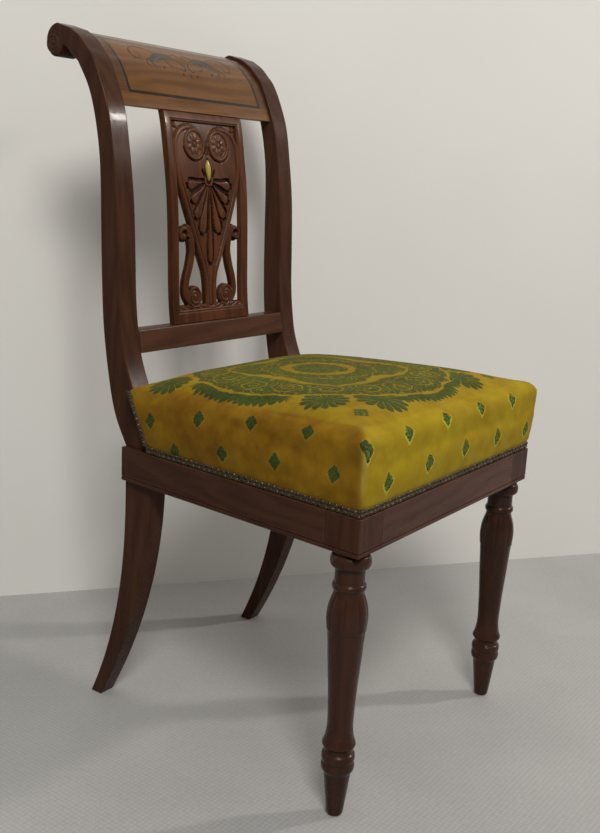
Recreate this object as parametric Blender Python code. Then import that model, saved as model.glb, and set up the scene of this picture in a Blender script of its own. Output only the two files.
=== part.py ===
"""A dining chair with a carved palmette back.

Mahogany frame: turned front legs, sabre rear legs that run on as scrolled stiles, a rolled
crest rail, a pierced and carved splat, and a stuffed seat that is nailed over the rails.
Metres, +Z up. The front looks along -Y. All pieces are drawn with y = 0 on the front rail's
face, and one empty then sets the middle of the chair over the origin, with its feet on z = 0.
"""
import math

import bmesh
import bpy
import numpy as np

# Fit
CLEARANCE = 0.0003

# Seat frame
RAIL_TOP = 0.376
RAIL_HEIGHT = 0.045
RAIL_THICKNESS = 0.026
FRONT_WIDTH = 0.431
REAR_CHEEK = 0.0067
SEAT_DEPTH = 0.3435
TACK_LIP_HEIGHT = 0.014
TACK_LIP_SETBACK = 0.005
BEAD_HEIGHT = 0.005
BEAD_GROOVE_WIDTH = 0.0013
BEAD_GROOVE_DEPTH = 0.0012
RAIL_END_CHAMFER = 0.005
TENON_THICKNESS = 0.010
TENON_LENGTH = 0.020
TENON_SHOULDER = 0.008
PEG_DIAMETER = 0.007
PEG_LENGTH = 0.028
PEG_INSET = 0.012
PEG_DROP = 0.030

# Stiles and rear legs
STILE_INNER = 0.1521
STILE_THICKNESS = 0.0318
STILE_DEPTH = 0.044
FOOT_INNER_TAPER = 0.0032
FOOT_OUTER_TAPER = 0.0041
FOOT_FRONT_REACH = 0.0925
FOOT_REAR_REACH = 0.0675
FOOT_FRONT_CURVE = 2.0
FOOT_REAR_CURVE = 2.4
STILE_EDGE_ROUND = 0.0015
SCROLL_RADIUS = 0.021
SCROLL_BACK = 0.1745
SCROLL_RISE = 0.506

# Front and rear faces of a stile above the seat, each back from its own face at the rail and up
# from the rail's top, as shares of the way to the scroll's centre
STILE_FRONT_LINE = [
    (0.0000, 0.0000), (0.0745, 0.0751), (0.1891, 0.1542), (0.2722, 0.2273), (0.3095, 0.2925),
    (0.3352, 0.3696), (0.3496, 0.4704), (0.3639, 0.5711), (0.3811, 0.6443), (0.4212, 0.7411),
    (0.4756, 0.8399), (0.5645, 0.9170), (0.6390, 0.9625),
]
STILE_OVER_LINE = [(0.6963, 0.9832), (0.7708, 1.0079), (0.8711, 1.0287)]
STILE_REAR_LINE = [
    (0.0000, 0.0000), (0.1003, 0.0613), (0.1519, 0.1107), (0.1862, 0.1621), (0.2264, 0.2391),
    (0.2550, 0.3162), (0.2722, 0.4170), (0.2837, 0.5415), (0.2923, 0.6522), (0.3066, 0.7253),
    (0.3410, 0.7964), (0.3868, 0.8557), (0.4384, 0.8972), (0.5358, 0.9486),
]

# Crest rail and its stringing
CREST_DROP = 0.076
CREST_SETBACK = 0.005
CREST_TENON_RISE = 0.015
CREST_TENON_HEIGHT = 0.030
STRING_WIDTH = 0.0026
STRING_DEPTH = 0.0012
STRING_MARGIN = 0.0185

# Lower back rail
LOWER_RAIL_RISE = 0.148
LOWER_RAIL_HEIGHT = 0.030
LOWER_RAIL_DEPTH = 0.022
LOWER_TENON_HEIGHT = 0.016
LOWER_TENON_THICKNESS = 0.008

# Splat: the frame round it, the panel behind, and the depths of the carving below the frame
SPLAT_WIDTH = 0.160
SPLAT_THICKNESS = 0.010
SPLAT_SETBACK = 0.004
SPLAT_BAR = 0.014
SPLAT_TOP_BAR = 0.012
SPLAT_FOOT_BAR = 0.018
SPLAT_TONGUE_WIDTH = 0.090
SPLAT_TONGUE_DEPTH = 0.006
SPLAT_TONGUE_THICKNESS = 0.004
SPLAT_TONGUE_SETBACK = 0.005
GROUND_SINK = 0.0045
HEART_SINK = 0.0020
LOBE_SINK = 0.0017
BAND_SINK = 0.0006
BAND_WIDTH = 0.010
LEAF_SINK = 0.0009
ROSETTE_SINK = 0.0012
BOSS_SINK = 0.0003
SCROLL_SINK = 0.0015
VOLUTE_SINK = 0.0010
FOOT_MOULD_SINK = 0.0024
BACK_SINK = 0.0008
BACK_STEP = 0.00002

# Splat carving, out from the middle: the scrolls and the heart's edge up from the lower rail,
# the lobes, palmette and drop down from the crest
HEART_EDGE = [
    (0.0120, 0.014), (0.0120, 0.048), (0.0155, 0.068), (0.0240, 0.088), (0.0340, 0.112),
    (0.0435, 0.136), (0.0520, 0.158), (0.0600, 0.180), (0.0655, 0.200), (0.0680, 0.222),
]
LOBE_OUT = 0.025
LOBE_DROP = 0.041
LOBE_RADIUS = 0.0225
LOBE_SWELL = 0.0135
LOBE_SWELL_TURNS = [0.0, 45.0, 90.0, 135.0, 180.0, 270.0, 360.0]
LOBE_SWELL_SHARES = [1.00, 0.56, 0.25, 0.06, 0.00, 0.00, 1.00]
ROSETTE_RADIUS = 0.0150
ROSETTE_BOSS = 0.0045
SIDE_SCROLL_PATH = [
    (0.0470, 0.1285), (0.0425, 0.1200), (0.0390, 0.1090), (0.0380, 0.0960), (0.0425, 0.0760),
    (0.0495, 0.0560), (0.0505, 0.0390), (0.0430, 0.0265),
]
SIDE_SCROLL_WIDTH = 0.0105
UPPER_VOLUTE = (0.0535, 0.1210)
UPPER_VOLUTE_RADIUS = 0.0112
LOWER_VOLUTE = (0.0330, 0.0350)
LOWER_VOLUTE_RADIUS = 0.0150
FOOT_MOULD_HEIGHT = 0.006
PALMETTE_DROP = 0.089
PALMETTE_LEAVES = [(99.0, 0.044), (128.0, 0.046), (150.0, 0.058), (166.0, 0.073)]
PALMETTE_LEAF_WIDTH = 0.0135
PALMETTE_LEAF_ALONG = [0.00, 0.30, 0.55, 0.75, 0.90, 0.98, 1.00]
PALMETTE_LEAF_ACROSS = [0.06, 0.22, 0.40, 0.50, 0.42, 0.20, 0.00]
PALMETTE_LEAF_START = 0.009
PALMETTE_SPEAR = 0.112
PALMETTE_SPEAR_WIDTH = 0.0085
DROP_MIDDLE = 0.075
DROP_LENGTH = 0.028
DROP_WIDTH = 0.0105
DROP_HEAD_FULLNESS = 0.35
DROP_DEPTH = 0.0022
DROP_PROUD = 0.0006

# Front legs: down from the block and up from the floor, each with its diameter
LEG_BLOCK = 0.048
LEG_UPPER_TURNING = [
    (0.0030, 0.038), (0.0050, 0.0425), (0.0095, 0.0462), (0.0140, 0.0472), (0.0185, 0.0458),
    (0.0225, 0.0415), (0.0240, 0.0352), (0.0370, 0.0346), (0.0405, 0.0352), (0.0420, 0.0378),
    (0.0440, 0.0388), (0.0462, 0.0378), (0.0478, 0.0352), (0.0505, 0.0352), (0.0560, 0.0392),
    (0.0650, 0.0446), (0.0740, 0.0474), (0.0810, 0.0480), (0.0900, 0.0472), (0.0990, 0.0452),
    (0.1000, 0.0434), (0.1350, 0.0386),
]
LEG_SHAFT_HOLLOW = 0.002
LEG_LOWER_TURNING = [
    (0.1200, 0.0302), (0.1080, 0.0316), (0.0980, 0.0350), (0.0920, 0.0390), (0.0885, 0.0397),
    (0.0850, 0.0385), (0.0830, 0.0354), (0.0812, 0.0354), (0.0795, 0.0385), (0.0735, 0.0398),
    (0.0685, 0.0388), (0.0668, 0.0374), (0.0650, 0.0388), (0.0610, 0.0394), (0.0570, 0.0378),
    (0.0540, 0.0334), (0.0490, 0.0302), (0.0060, 0.0196), (0.0015, 0.0176), (0.0000, 0.0140),
]

# Seat upholstery
WEBBING_WIDTH = 0.050
WEBBING_THICKNESS = 0.0015
WEBBING_LAP = 0.014
LONG_STRAPS = 3
CROSS_STRAPS = 4
HESSIAN_THICKNESS = 0.001
COVER_THICKNESS = 0.002
COVER_EDGE_RISE = 0.090
COVER_CROWN = 0.027
COVER_CROWN_FULLNESS = 5.0
COVER_REAR_FALL = 0.018
COVER_BULGE = 0.0060
COVER_BULGE_SHARE = 0.80
COVER_SHOULDER = 0.020
COVER_GAP_TO_STILE = 0.0006
GIMP_HEIGHT = 0.010
GIMP_THICKNESS = 0.0012

# Fineness of the curved surfaces
STILE_SPAN_STEPS = 3
LEG_CURVE_STEPS = 10
SCROLL_STEPS = 14
TURNING_SEGMENTS = 28
SPLAT_BEND_STEP = 0.014
CUSHION_CELLS = 14
CUSHION_SIDE_ROWS = 5
CUSHION_SHOULDER_ROWS = 3
SHARP_ANGLE = 35.0
CUSHION_SHARP_ANGLE = 50.0
DISC_SEGMENTS = 28

# Sizes that follow from the ones above
RAIL_BOTTOM = RAIL_TOP - RAIL_HEIGHT
LIP_TOP = RAIL_TOP + TACK_LIP_HEIGHT
SEAT_END = SEAT_DEPTH + STILE_DEPTH
STILE_OUTER = STILE_INNER + STILE_THICKNESS
REARMOST = SEAT_DEPTH + SCROLL_BACK + SCROLL_RADIUS
FOREMOST = -COVER_BULGE
SPLAY = (FRONT_WIDTH / 2 - STILE_OUTER - REAR_CHEEK) / SEAT_END
LOWER_RAIL_TOP = RAIL_TOP + LOWER_RAIL_RISE
CREST_BOTTOM = RAIL_TOP + SCROLL_RISE - CREST_DROP
SPLAT_HEIGHT = CREST_BOTTOM - LOWER_RAIL_TOP
LOBE_RISE = SPLAT_HEIGHT - LOBE_DROP
PALMETTE_RISE = SPLAT_HEIGHT - PALMETTE_DROP
DROP_RISE = SPLAT_HEIGHT - DROP_MIDDLE
LONG_STRAP_PITCH = (FRONT_WIDTH - 2 * LEG_BLOCK) / (LONG_STRAPS + 1)
CROSS_STRAP_PITCH = (SEAT_DEPTH - RAIL_THICKNESS) / CROSS_STRAPS
OVERCUT = 0.02


def clear_scene():
    """Empties the file, so that the chair is alone in it."""
    for item in list(bpy.data.objects):
        bpy.data.objects.remove(item, do_unlink=True)


def finish(name, colour, roughness, metallic=0.0):
    """A plain surface colour for one sub-part."""
    material = bpy.data.materials.new(name)
    material.use_nodes = True
    shader = material.node_tree.nodes["Principled BSDF"]
    shader.inputs["Base Color"].default_value = (*colour, 1.0)
    shader.inputs["Roughness"].default_value = roughness
    shader.inputs["Metallic"].default_value = metallic
    return material


def add_piece(name, shape, material):
    """Turns a bmesh into a named piece of the chair."""
    bmesh.ops.recalc_face_normals(shape, faces=shape.faces[:])
    mesh = bpy.data.meshes.new(name)
    shape.to_mesh(mesh)
    shape.free()
    mesh.materials.append(material)
    piece = bpy.data.objects.new(name, mesh)
    bpy.context.scene.collection.objects.link(piece)
    piece.parent = bpy.data.objects["chair_middle"]
    return piece


def smooth_shaded(piece, angle=SHARP_ANGLE):
    """Shades a round piece smooth, with its sharp edges kept."""
    piece.data.shade_smooth()
    piece.data.set_sharp_from_angle(angle=math.radians(angle))
    return piece


def combine(piece, other, operation):
    """Adds another shape to a piece or cuts it away; the other shape is a guide and stays hidden."""
    other.hide_render = True
    other.display_type = "WIRE"
    step = piece.modifiers.new(operation.lower() + "_" + other.name, "BOOLEAN")
    step.operation = operation
    step.object = other
    return piece


def cut(piece, *cutters):
    for cutter in cutters:
        combine(piece, cutter, "DIFFERENCE")
    return piece


def join(piece, *additions):
    for addition in additions:
        combine(piece, addition, "UNION")
    return piece


def settled(piece):
    """Replaces a piece's mesh with the result of its modifiers."""
    bpy.context.view_layer.update()
    graph = bpy.context.evaluated_depsgraph_get()
    mesh = bpy.data.meshes.new_from_object(piece.evaluated_get(graph))
    piece.modifiers.clear()
    piece.data = mesh
    return piece


def rounded(piece, width):
    """Breaks the sharp edges of a piece."""
    bevel = piece.modifiers.new("broken_edges", "BEVEL")
    bevel.width = width
    bevel.segments = 1
    bevel.limit_method = "ANGLE"
    bevel.angle_limit = math.radians(SHARP_ANGLE)
    bevel.use_clamp_overlap = True
    return piece


def stack(levels):
    """A closed form through a row of outlines with equal counts of points, each a list of (x, y, z)."""
    shape = bmesh.new()
    rings = [[shape.verts.new(point) for point in level] for level in levels]
    count = len(rings[0])
    for lower, upper in zip(rings, rings[1:]):
        for i in range(count):
            j = (i + 1) % count
            shape.faces.new((lower[i], lower[j], upper[j], upper[i]))
    shape.faces.new(rings[0][::-1])
    shape.faces.new(rings[-1])
    return shape


def prism_x(outline, low, high):
    """An outline of (y, z) points carried along X."""
    return stack([[(x, y, z) for y, z in outline] for x in (low, high)])


def prism_y(outline, low, high):
    """An outline of (x, z) points carried along Y."""
    return stack([[(x, y, z) for x, z in outline] for y in (low, high)])


def prism_z(outline, low, high):
    """An outline of (x, y) points carried along Z."""
    return stack([[(x, y, z) for x, y in outline] for z in (low, high)])


def block(x_range, y_range, z_range):
    """A squared block between two values on each axis."""
    x0, x1 = sorted(x_range)
    y0, y1 = y_range
    return prism_z([(x0, y0), (x1, y0), (x1, y1), (x0, y1)], *z_range)


def disc(centre, radius, y_range):
    """A round disc that faces front, with its centre at (x, z)."""
    turns = np.linspace(0.0, 2.0 * math.pi, DISC_SEGMENTS, endpoint=False)
    outline = [(centre[0] + radius * math.cos(a), centre[1] + radius * math.sin(a)) for a in turns]
    return prism_y(outline, *y_range)


def smooth_curve(points, steps):
    """A flowing line through the points: a Catmull-Rom curve with chord-length spacing."""
    p = np.array(points, dtype=float)
    ends = np.vstack([2 * p[0] - p[1], p, 2 * p[-1] - p[-2]])
    knots = np.concatenate([[0.0], np.cumsum(np.linalg.norm(np.diff(ends, axis=0), axis=1))])
    slopes = (ends[2:] - ends[:-2]) / (knots[2:] - knots[:-2])[:, None]
    line = []
    for i in range(len(p) - 1):
        span = knots[i + 2] - knots[i + 1]
        for t in np.linspace(0.0, 1.0, steps, endpoint=False):
            line.append((2 * t**3 - 3 * t**2 + 1) * p[i] + (t**3 - 2 * t**2 + t) * span * slopes[i]
                        + (3 * t**2 - 2 * t**3) * p[i + 1] + (t**3 - t**2) * span * slopes[i + 1])
    return np.array(line + [p[-1]])


def moved_aside(line, distance):
    """The line moved to its left by a distance, square to its own run."""
    run = np.gradient(line, axis=0)
    run /= np.linalg.norm(run, axis=1)[:, None]
    return line + distance * np.column_stack([-run[:, 1], run[:, 0]])


def ribbon(path, width):
    """The outline of a band of even width along a path."""
    left = moved_aside(path, width / 2)
    right = moved_aside(path, -width / 2)
    return np.vstack([left, right[::-1]]).tolist()


def above_seat(points, start=SEAT_DEPTH):
    """Places stile points, given back from a face at the rail, in the chair's (y, z)."""
    return np.array(points) * [SCROLL_BACK, SCROLL_RISE] + [start, RAIL_TOP]


def stile_front():
    return smooth_curve(above_seat(STILE_FRONT_LINE + STILE_OVER_LINE), STILE_SPAN_STEPS)


def stile_rear():
    return smooth_curve(above_seat(STILE_REAR_LINE, SEAT_END), STILE_SPAN_STEPS)


def scroll_arc(radius):
    """The round of the scroll, from its top over the rear to its underside."""
    centre = above_seat([(1.0, 1.0)])[0]
    turns = np.radians(np.linspace(90.0, -90.0, SCROLL_STEPS))
    return centre + radius * np.column_stack([np.cos(turns), np.sin(turns)])


def back_face(height):
    """How far back the stiles' front faces lie at a height above the seat."""
    line = stile_front()
    return float(np.interp(height, line[:, 1], line[:, 0]))


def side_face(y):
    """The side rails' outer face: half the seat's width at a depth y."""
    return FRONT_WIDTH / 2 - SPLAY * y


def sabre_leg():
    """Pairs of front and rear points of a rear leg, from the floor to the seat rail."""
    pairs = []
    for share in np.linspace(0.0, 1.0, LEG_CURVE_STEPS):
        drop = 1.0 - share
        front = (SEAT_DEPTH + FOOT_FRONT_REACH * drop**FOOT_FRONT_CURVE, RAIL_BOTTOM * share)
        rear = (SEAT_END + FOOT_REAR_REACH * drop**FOOT_REAR_CURVE, RAIL_BOTTOM * share)
        pairs.append((front, rear))
    return pairs


def stile_shape(side):
    """Rear leg, stile and scroll as one timber; side is -1 on the left of the picture, +1 on the right."""
    front = stile_front()
    rear = stile_rear()
    shoulder = len(STILE_FRONT_LINE) - 1
    front_low, over = np.split(front, [shoulder * STILE_SPAN_STEPS + 1])
    marks = np.linspace(0.0, 1.0, len(front_low))
    spacing = np.linspace(0.0, 1.0, len(rear))
    rear_low = np.column_stack([np.interp(marks, spacing, rear[:, k]) for k in (0, 1)])
    pairs = sabre_leg() + list(zip(front_low.tolist(), rear_low.tolist()))
    shape = bmesh.new()
    rows = []
    for front_point, rear_point in pairs:
        taper = max(0.0, 1.0 - front_point[1] / RAIL_BOTTOM)
        inner = side * (STILE_INNER + FOOT_INNER_TAPER * taper)
        outer = side * (STILE_OUTER - FOOT_OUTER_TAPER * taper)
        corners = [(inner, *front_point), (outer, *front_point), (outer, *rear_point), (inner, *rear_point)]
        rows.append([shape.verts.new(corner) for corner in corners])
    for lower, upper in zip(rows, rows[1:]):
        for i in range(4):
            j = (i + 1) % 4
            shape.faces.new((lower[i], lower[j], upper[j], upper[i]))
    shape.faces.new(rows[0])
    crown = [tuple(point) for point in over] + [tuple(point) for point in scroll_arc(SCROLL_RADIUS)]
    loops = [[shape.verts.new((side * x, *point)) for point in crown] for x in (STILE_INNER, STILE_OUTER)]
    inner_loop = [rows[-1][0], *loops[0], rows[-1][3]]
    outer_loop = [rows[-1][1], *loops[1], rows[-1][2]]
    shape.faces.new(inner_loop)
    shape.faces.new(outer_loop[::-1])
    for i in range(len(inner_loop) - 1):
        shape.faces.new((inner_loop[i], outer_loop[i], outer_loop[i + 1], inner_loop[i + 1]))
    return shape


def crest_face():
    """The crest rail's front face, from its lower edge up and over to the top of the roll."""
    line = moved_aside(stile_front(), -CREST_SETBACK)
    start = np.array([np.interp(CREST_BOTTOM, line[:, 1], line[:, 0]), CREST_BOTTOM])
    return np.vstack([start, line[line[:, 1] > CREST_BOTTOM + CLEARANCE]])


def crest_outline():
    """The crest rail's section: the stiles' own line, drawn in all round."""
    rear = moved_aside(stile_rear(), CREST_SETBACK)
    end = np.array([np.interp(CREST_BOTTOM, rear[:, 1], rear[:, 0]), CREST_BOTTOM])
    rear = np.vstack([end, rear[rear[:, 1] > CREST_BOTTOM + CLEARANCE]])
    return np.vstack([crest_face(), scroll_arc(SCROLL_RADIUS - CREST_SETBACK), rear[::-1]])


def crest_middle(height):
    """The middle of the crest rail's thickness at a height."""
    front = crest_face()
    rear = moved_aside(stile_rear(), CREST_SETBACK)
    ends = [float(np.interp(height, line[:, 1], line[:, 0])) for line in (front, rear)]
    return sum(ends) / 2


def crest_tenon():
    """The crest's tenon: the ends of its middle line, which leans as the crest does, and its thickness."""
    low = CREST_BOTTOM + CREST_TENON_RISE
    high = low + CREST_TENON_HEIGHT
    return (crest_middle(low), low), (crest_middle(high), high), TENON_THICKNESS


def upright_tenon(centre, height, thickness):
    """An upright tenon about a centre (y, z): the ends of its middle line and its thickness."""
    y, z = centre
    return (y, z - height / 2), (y, z + height / 2), thickness


def tenon_outline(tenon, spare=0.0):
    """The section of a tenon, or of its mortise with some spare room, in (y, z)."""
    (y0, z0), (y1, z1), thickness = tenon
    half = thickness / 2 + spare
    return [(y0 - half, z0 - spare), (y0 + half, z0 - spare),
            (y1 + half, z1 + spare), (y1 - half, z1 + spare)]


def through_rail(name, outline, tenon, material):
    """A rail from stile to stile, with a stub tenon at each end."""
    reach = STILE_INNER - CLEARANCE
    rail = smooth_shaded(add_piece(name, prism_x(outline, -reach, reach), material))
    stub = prism_x(tenon_outline(tenon), -reach - TENON_LENGTH, reach + TENON_LENGTH)
    return join(rail, add_piece(name + "_tenon", stub, material))


def stile_mortise(name, side, tenon, material):
    """The cutter for one of those tenons' mortises."""
    outline = tenon_outline(tenon, CLEARANCE)
    deep = STILE_INNER + TENON_LENGTH + CLEARANCE
    ends = sorted((side * (STILE_INNER - OVERCUT), side * deep))
    return add_piece(name, prism_x(outline, *ends), material)


def rail_section(outer, inward):
    """A seat rail's section: bead, face, tacking lip; outer is the face, inward the way to the inside."""
    lip = outer + inward * TACK_LIP_SETBACK
    groove = outer + inward * BEAD_GROOVE_DEPTH
    back = outer + inward * RAIL_THICKNESS
    bead = RAIL_BOTTOM + BEAD_HEIGHT
    return [
        (outer, RAIL_BOTTOM), (outer, bead), (groove, bead), (groove, bead + BEAD_GROOVE_WIDTH),
        (outer, bead + BEAD_GROOVE_WIDTH), (outer, RAIL_TOP), (lip, RAIL_TOP), (lip, LIP_TOP),
        (back, LIP_TOP), (back, RAIL_BOTTOM),
    ]


def tenon_heights(spare=0.0):
    return RAIL_BOTTOM + TENON_SHOULDER - spare, RAIL_TOP - TENON_SHOULDER + spare


def block_inner():
    """The front leg block's inner face: the front rail ends here."""
    return FRONT_WIDTH / 2 - LEG_BLOCK


def front_tenon(side, spare=0.0):
    """The front rail's tenon in a leg block, or its mortise with some spare room."""
    middle = RAIL_THICKNESS / 2
    half = TENON_THICKNESS / 2 + spare
    inner = block_inner() - OVERCUT
    outer = block_inner() + TENON_LENGTH + spare
    return block((side * inner, side * outer), (middle - half, middle + half), tenon_heights(spare))


def side_tenon(side, spare=0.0):
    """A side rail's tenon in a leg block, or its mortise with some spare room."""
    middle = side_face(LEG_BLOCK) - RAIL_THICKNESS / 2
    half = TENON_THICKNESS / 2 + spare
    depth = (LEG_BLOCK - TENON_LENGTH - spare, LEG_BLOCK + OVERCUT)
    return block((side * (middle - half), side * (middle + half)), depth, tenon_heights(spare))


def peg_shape(side, spare=0.0):
    """The peg that pins a side rail's tenon through the leg block."""
    depth = LEG_BLOCK - PEG_INSET
    height = RAIL_TOP - PEG_DROP
    radius = PEG_DIAMETER / 2 + spare
    face = side_face(depth) + (OVERCUT if spare else -radius * SPLAY)
    turns = np.linspace(0.0, 2.0 * math.pi, DISC_SEGMENTS // 2, endpoint=False)
    outline = [(depth + radius * math.cos(a), height + radius * math.sin(a)) for a in turns]
    ends = sorted((side * (side_face(depth) - PEG_LENGTH - spare), side * face))
    return prism_x(outline, *ends)


def leg_block_shape(side):
    """The square head of a front leg, its outer side in line with the splayed side rail."""
    inner = block_inner() + CLEARANCE
    corners = [(inner, 0.0), (side_face(0.0), 0.0), (side_face(LEG_BLOCK), LEG_BLOCK), (inner, LEG_BLOCK)]
    return prism_z([(side * x, y) for x, y in corners], RAIL_BOTTOM, LIP_TOP)


def corner_rebate(side, setback, low, high):
    """A cutter that takes a step of one depth off the block's front and outer side."""
    inner = block_inner() - OVERCUT
    beyond = FRONT_WIDTH / 2 + OVERCUT
    rear = LEG_BLOCK + OVERCUT
    corners = [(inner, -OVERCUT), (beyond, -OVERCUT), (beyond, rear), (side_face(rear) - setback, rear),
               (side_face(setback) - setback, setback), (inner, setback)]
    return prism_z([(side * x, y) for x, y in corners], low, high)


def leg_turning_shape(side):
    """The turned part of a front leg, on the axis through the middle of its block."""
    centre = (side * (FRONT_WIDTH / 2 - LEG_BLOCK / 2), LEG_BLOCK / 2)
    neck = LEG_UPPER_TURNING[0][1]
    lower = [(height, width / 2) for height, width in LEG_LOWER_TURNING[::-1]]
    upper = [(RAIL_BOTTOM - drop, width / 2) for drop, width in LEG_UPPER_TURNING[::-1]]
    waist = ((lower[-1][0] + upper[0][0]) / 2, (lower[-1][1] + upper[0][1] - LEG_SHAFT_HOLLOW) / 2)
    rings = lower + [waist] + upper + [(RAIL_BOTTOM + TENON_SHOULDER / 2, neck / 2)]
    turns = np.linspace(0.0, 2.0 * math.pi, TURNING_SEGMENTS, endpoint=False)
    return stack([
        [(centre[0] + r * math.cos(a), centre[1] + r * math.sin(a), z) for a in turns] for z, r in rings
    ])


def side_rail_shape(side):
    """A side rail from the leg block to the stile's rear, along the seat's splay."""
    ends = (LEG_BLOCK + CLEARANCE, SEAT_END)
    return stack([[(side * x, y, z) for x, z in rail_section(side_face(y), -1.0)] for y in ends])


def rail_end_chamfer(side):
    """The cutter for the slanting corner at a side rail's rear end."""
    face = side_face(SEAT_END)
    corners = [(face - RAIL_END_CHAMFER, SEAT_END), (face + OVERCUT, SEAT_END - RAIL_END_CHAMFER - OVERCUT),
               (face + OVERCUT, SEAT_END + OVERCUT), (face - RAIL_END_CHAMFER, SEAT_END + OVERCUT)]
    return prism_z([(side * x, y) for x, y in corners], RAIL_BOTTOM - OVERCUT, LIP_TOP + OVERCUT)


def seat_tenon():
    """The rear seat rail's tenon."""
    centre = (SEAT_END - RAIL_THICKNESS / 2, RAIL_TOP - RAIL_HEIGHT / 2)
    return upright_tenon(centre, RAIL_HEIGHT - 2 * TENON_SHOULDER, TENON_THICKNESS)


def lower_tenon():
    """The lower back rail's tenon."""
    height = LOWER_RAIL_TOP - LOWER_RAIL_HEIGHT / 2
    centre = (back_face(height) + LOWER_RAIL_DEPTH / 2, height)
    return upright_tenon(centre, LOWER_TENON_HEIGHT, LOWER_TENON_THICKNESS)


def build_stiles(wood):
    for name, side in (("stile_left", -1.0), ("stile_right", 1.0)):
        stile = smooth_shaded(add_piece(name, stile_shape(side), wood))
        rounded(stile, STILE_EDGE_ROUND)
        cut(stile,
            stile_mortise(name + "_crest_mortise", side, crest_tenon(), wood),
            stile_mortise(name + "_lower_mortise", side, lower_tenon(), wood),
            stile_mortise(name + "_seat_mortise", side, seat_tenon(), wood))


def splat_tongue(seam, low, high, spare):
    """A tongue on the splat's seam with a rail, or its groove with some spare room."""
    half = SPLAT_TONGUE_WIDTH / 2 + spare
    front = back_face(seam) + SPLAT_SETBACK + SPLAT_TONGUE_SETBACK
    depth = (front - spare, front + SPLAT_TONGUE_THICKNESS + spare)
    return block((-half, half), depth, (low, high))


def top_tongue(root, spare=0.0):
    high = CREST_BOTTOM + SPLAT_TONGUE_DEPTH + spare
    return splat_tongue(CREST_BOTTOM, CREST_BOTTOM - root, high, spare)


def foot_tongue(root, spare=0.0):
    low = LOWER_RAIL_TOP - SPLAT_TONGUE_DEPTH - spare
    return splat_tongue(LOWER_RAIL_TOP, low, LOWER_RAIL_TOP + root, spare)


def face_strip(low, high, depth):
    """A strip of the crest's face between two lengths along it, from the surface down to a depth."""
    line = crest_face()
    lengths = np.concatenate([[0.0], np.cumsum(np.linalg.norm(np.diff(line, axis=0), axis=1))])
    inside = lengths[(lengths > low + CLEARANCE) & (lengths < high - CLEARANCE)]
    marks = np.concatenate([[low], inside, [high]])
    outer, inner = (
        np.column_stack([np.interp(marks, lengths, moved_aside(line, d)[:, k]) for k in (0, 1)])
        for d in (0.0, -depth)
    )
    return outer, inner


def string_strip(low, high, spare, floor):
    """The section of a string, or of its groove with some spare room beside it and under it."""
    outer, inner = face_strip(low - spare, high + spare, STRING_DEPTH + floor)
    if spare:
        outer = outer + (outer - inner)
    return np.vstack([outer, inner[::-1]]).tolist()


def crest_strings(spare=0.0):
    """The three strings that frame the crest's panel: name and shape; the side grooves run deeper."""
    half = STILE_INNER - STRING_MARGIN
    top = STRING_MARGIN + STRING_WIDTH
    gap = 0.0 if spare else CLEARANCE
    line = crest_face()
    reach = float(np.sum(np.linalg.norm(np.diff(line, axis=0), axis=1))) - STRING_MARGIN / 2
    lower = string_strip(STRING_MARGIN, top, spare, spare)
    yield "crest_string_lower", prism_x(lower, -half - spare, half + spare)
    for name, side in (("crest_string_left", -1.0), ("crest_string_right", 1.0)):
        ends = sorted((side * (half - STRING_WIDTH - spare), side * (half + spare)))
        yield name, prism_x(string_strip(top + gap, reach, spare, 2 * spare), *ends)


def build_crest(wood, ebony):
    crest = through_rail("crest_rail", crest_outline().tolist(), crest_tenon(), wood)
    cut(crest, add_piece("crest_tongue_groove", top_tongue(OVERCUT, CLEARANCE), wood))
    for name, shape in crest_strings(CLEARANCE):
        cut(crest, add_piece(name + "_groove", shape, wood))
    for name, shape in crest_strings():
        add_piece(name, shape, ebony)


def build_lower_rail(wood):
    bottom = LOWER_RAIL_TOP - LOWER_RAIL_HEIGHT
    front = [(back_face(z), z) for z in (bottom, LOWER_RAIL_TOP)]
    rear = [(y + LOWER_RAIL_DEPTH, z) for y, z in front[::-1]]
    rail = through_rail("lower_back_rail", front + rear, lower_tenon(), wood)
    cut(rail, add_piece("lower_tongue_groove", foot_tongue(OVERCUT, CLEARANCE), wood))


def heart_edge():
    """The heart's right-hand edge, up from its stem."""
    return smooth_curve(HEART_EDGE, STILE_SPAN_STEPS)


def lobe_outline(side):
    """A lobe of the heart: a spiral that widens to the side bar."""
    turns = np.linspace(0.0, 2.0 * math.pi, DISC_SEGMENTS, endpoint=False)
    swell = np.interp(np.degrees(turns), LOBE_SWELL_TURNS, LOBE_SWELL_SHARES)
    radius = LOBE_RADIUS + LOBE_SWELL * swell
    x = LOBE_OUT + radius * np.cos(turns)
    z = LOBE_RISE + radius * np.sin(turns)
    return np.column_stack([side * np.clip(x, 0.0, None), z]).tolist()


def leaf_outline(angle, start, end, width):
    """A palmette leaf: narrow at the root, full and round at the tip; angle from straight up."""
    across = np.array(PALMETTE_LEAF_ACROSS) * width
    edge = np.column_stack([across, start + (end - start) * np.array(PALMETTE_LEAF_ALONG)])
    outline = np.vstack([edge, (edge * [-1.0, 1.0])[-2::-1]])
    turn = math.radians(angle)
    x = outline[:, 0] * math.cos(turn) + outline[:, 1] * math.sin(turn)
    z = -outline[:, 0] * math.sin(turn) + outline[:, 1] * math.cos(turn)
    return np.column_stack([x, z + PALMETTE_RISE]).tolist()


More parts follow.
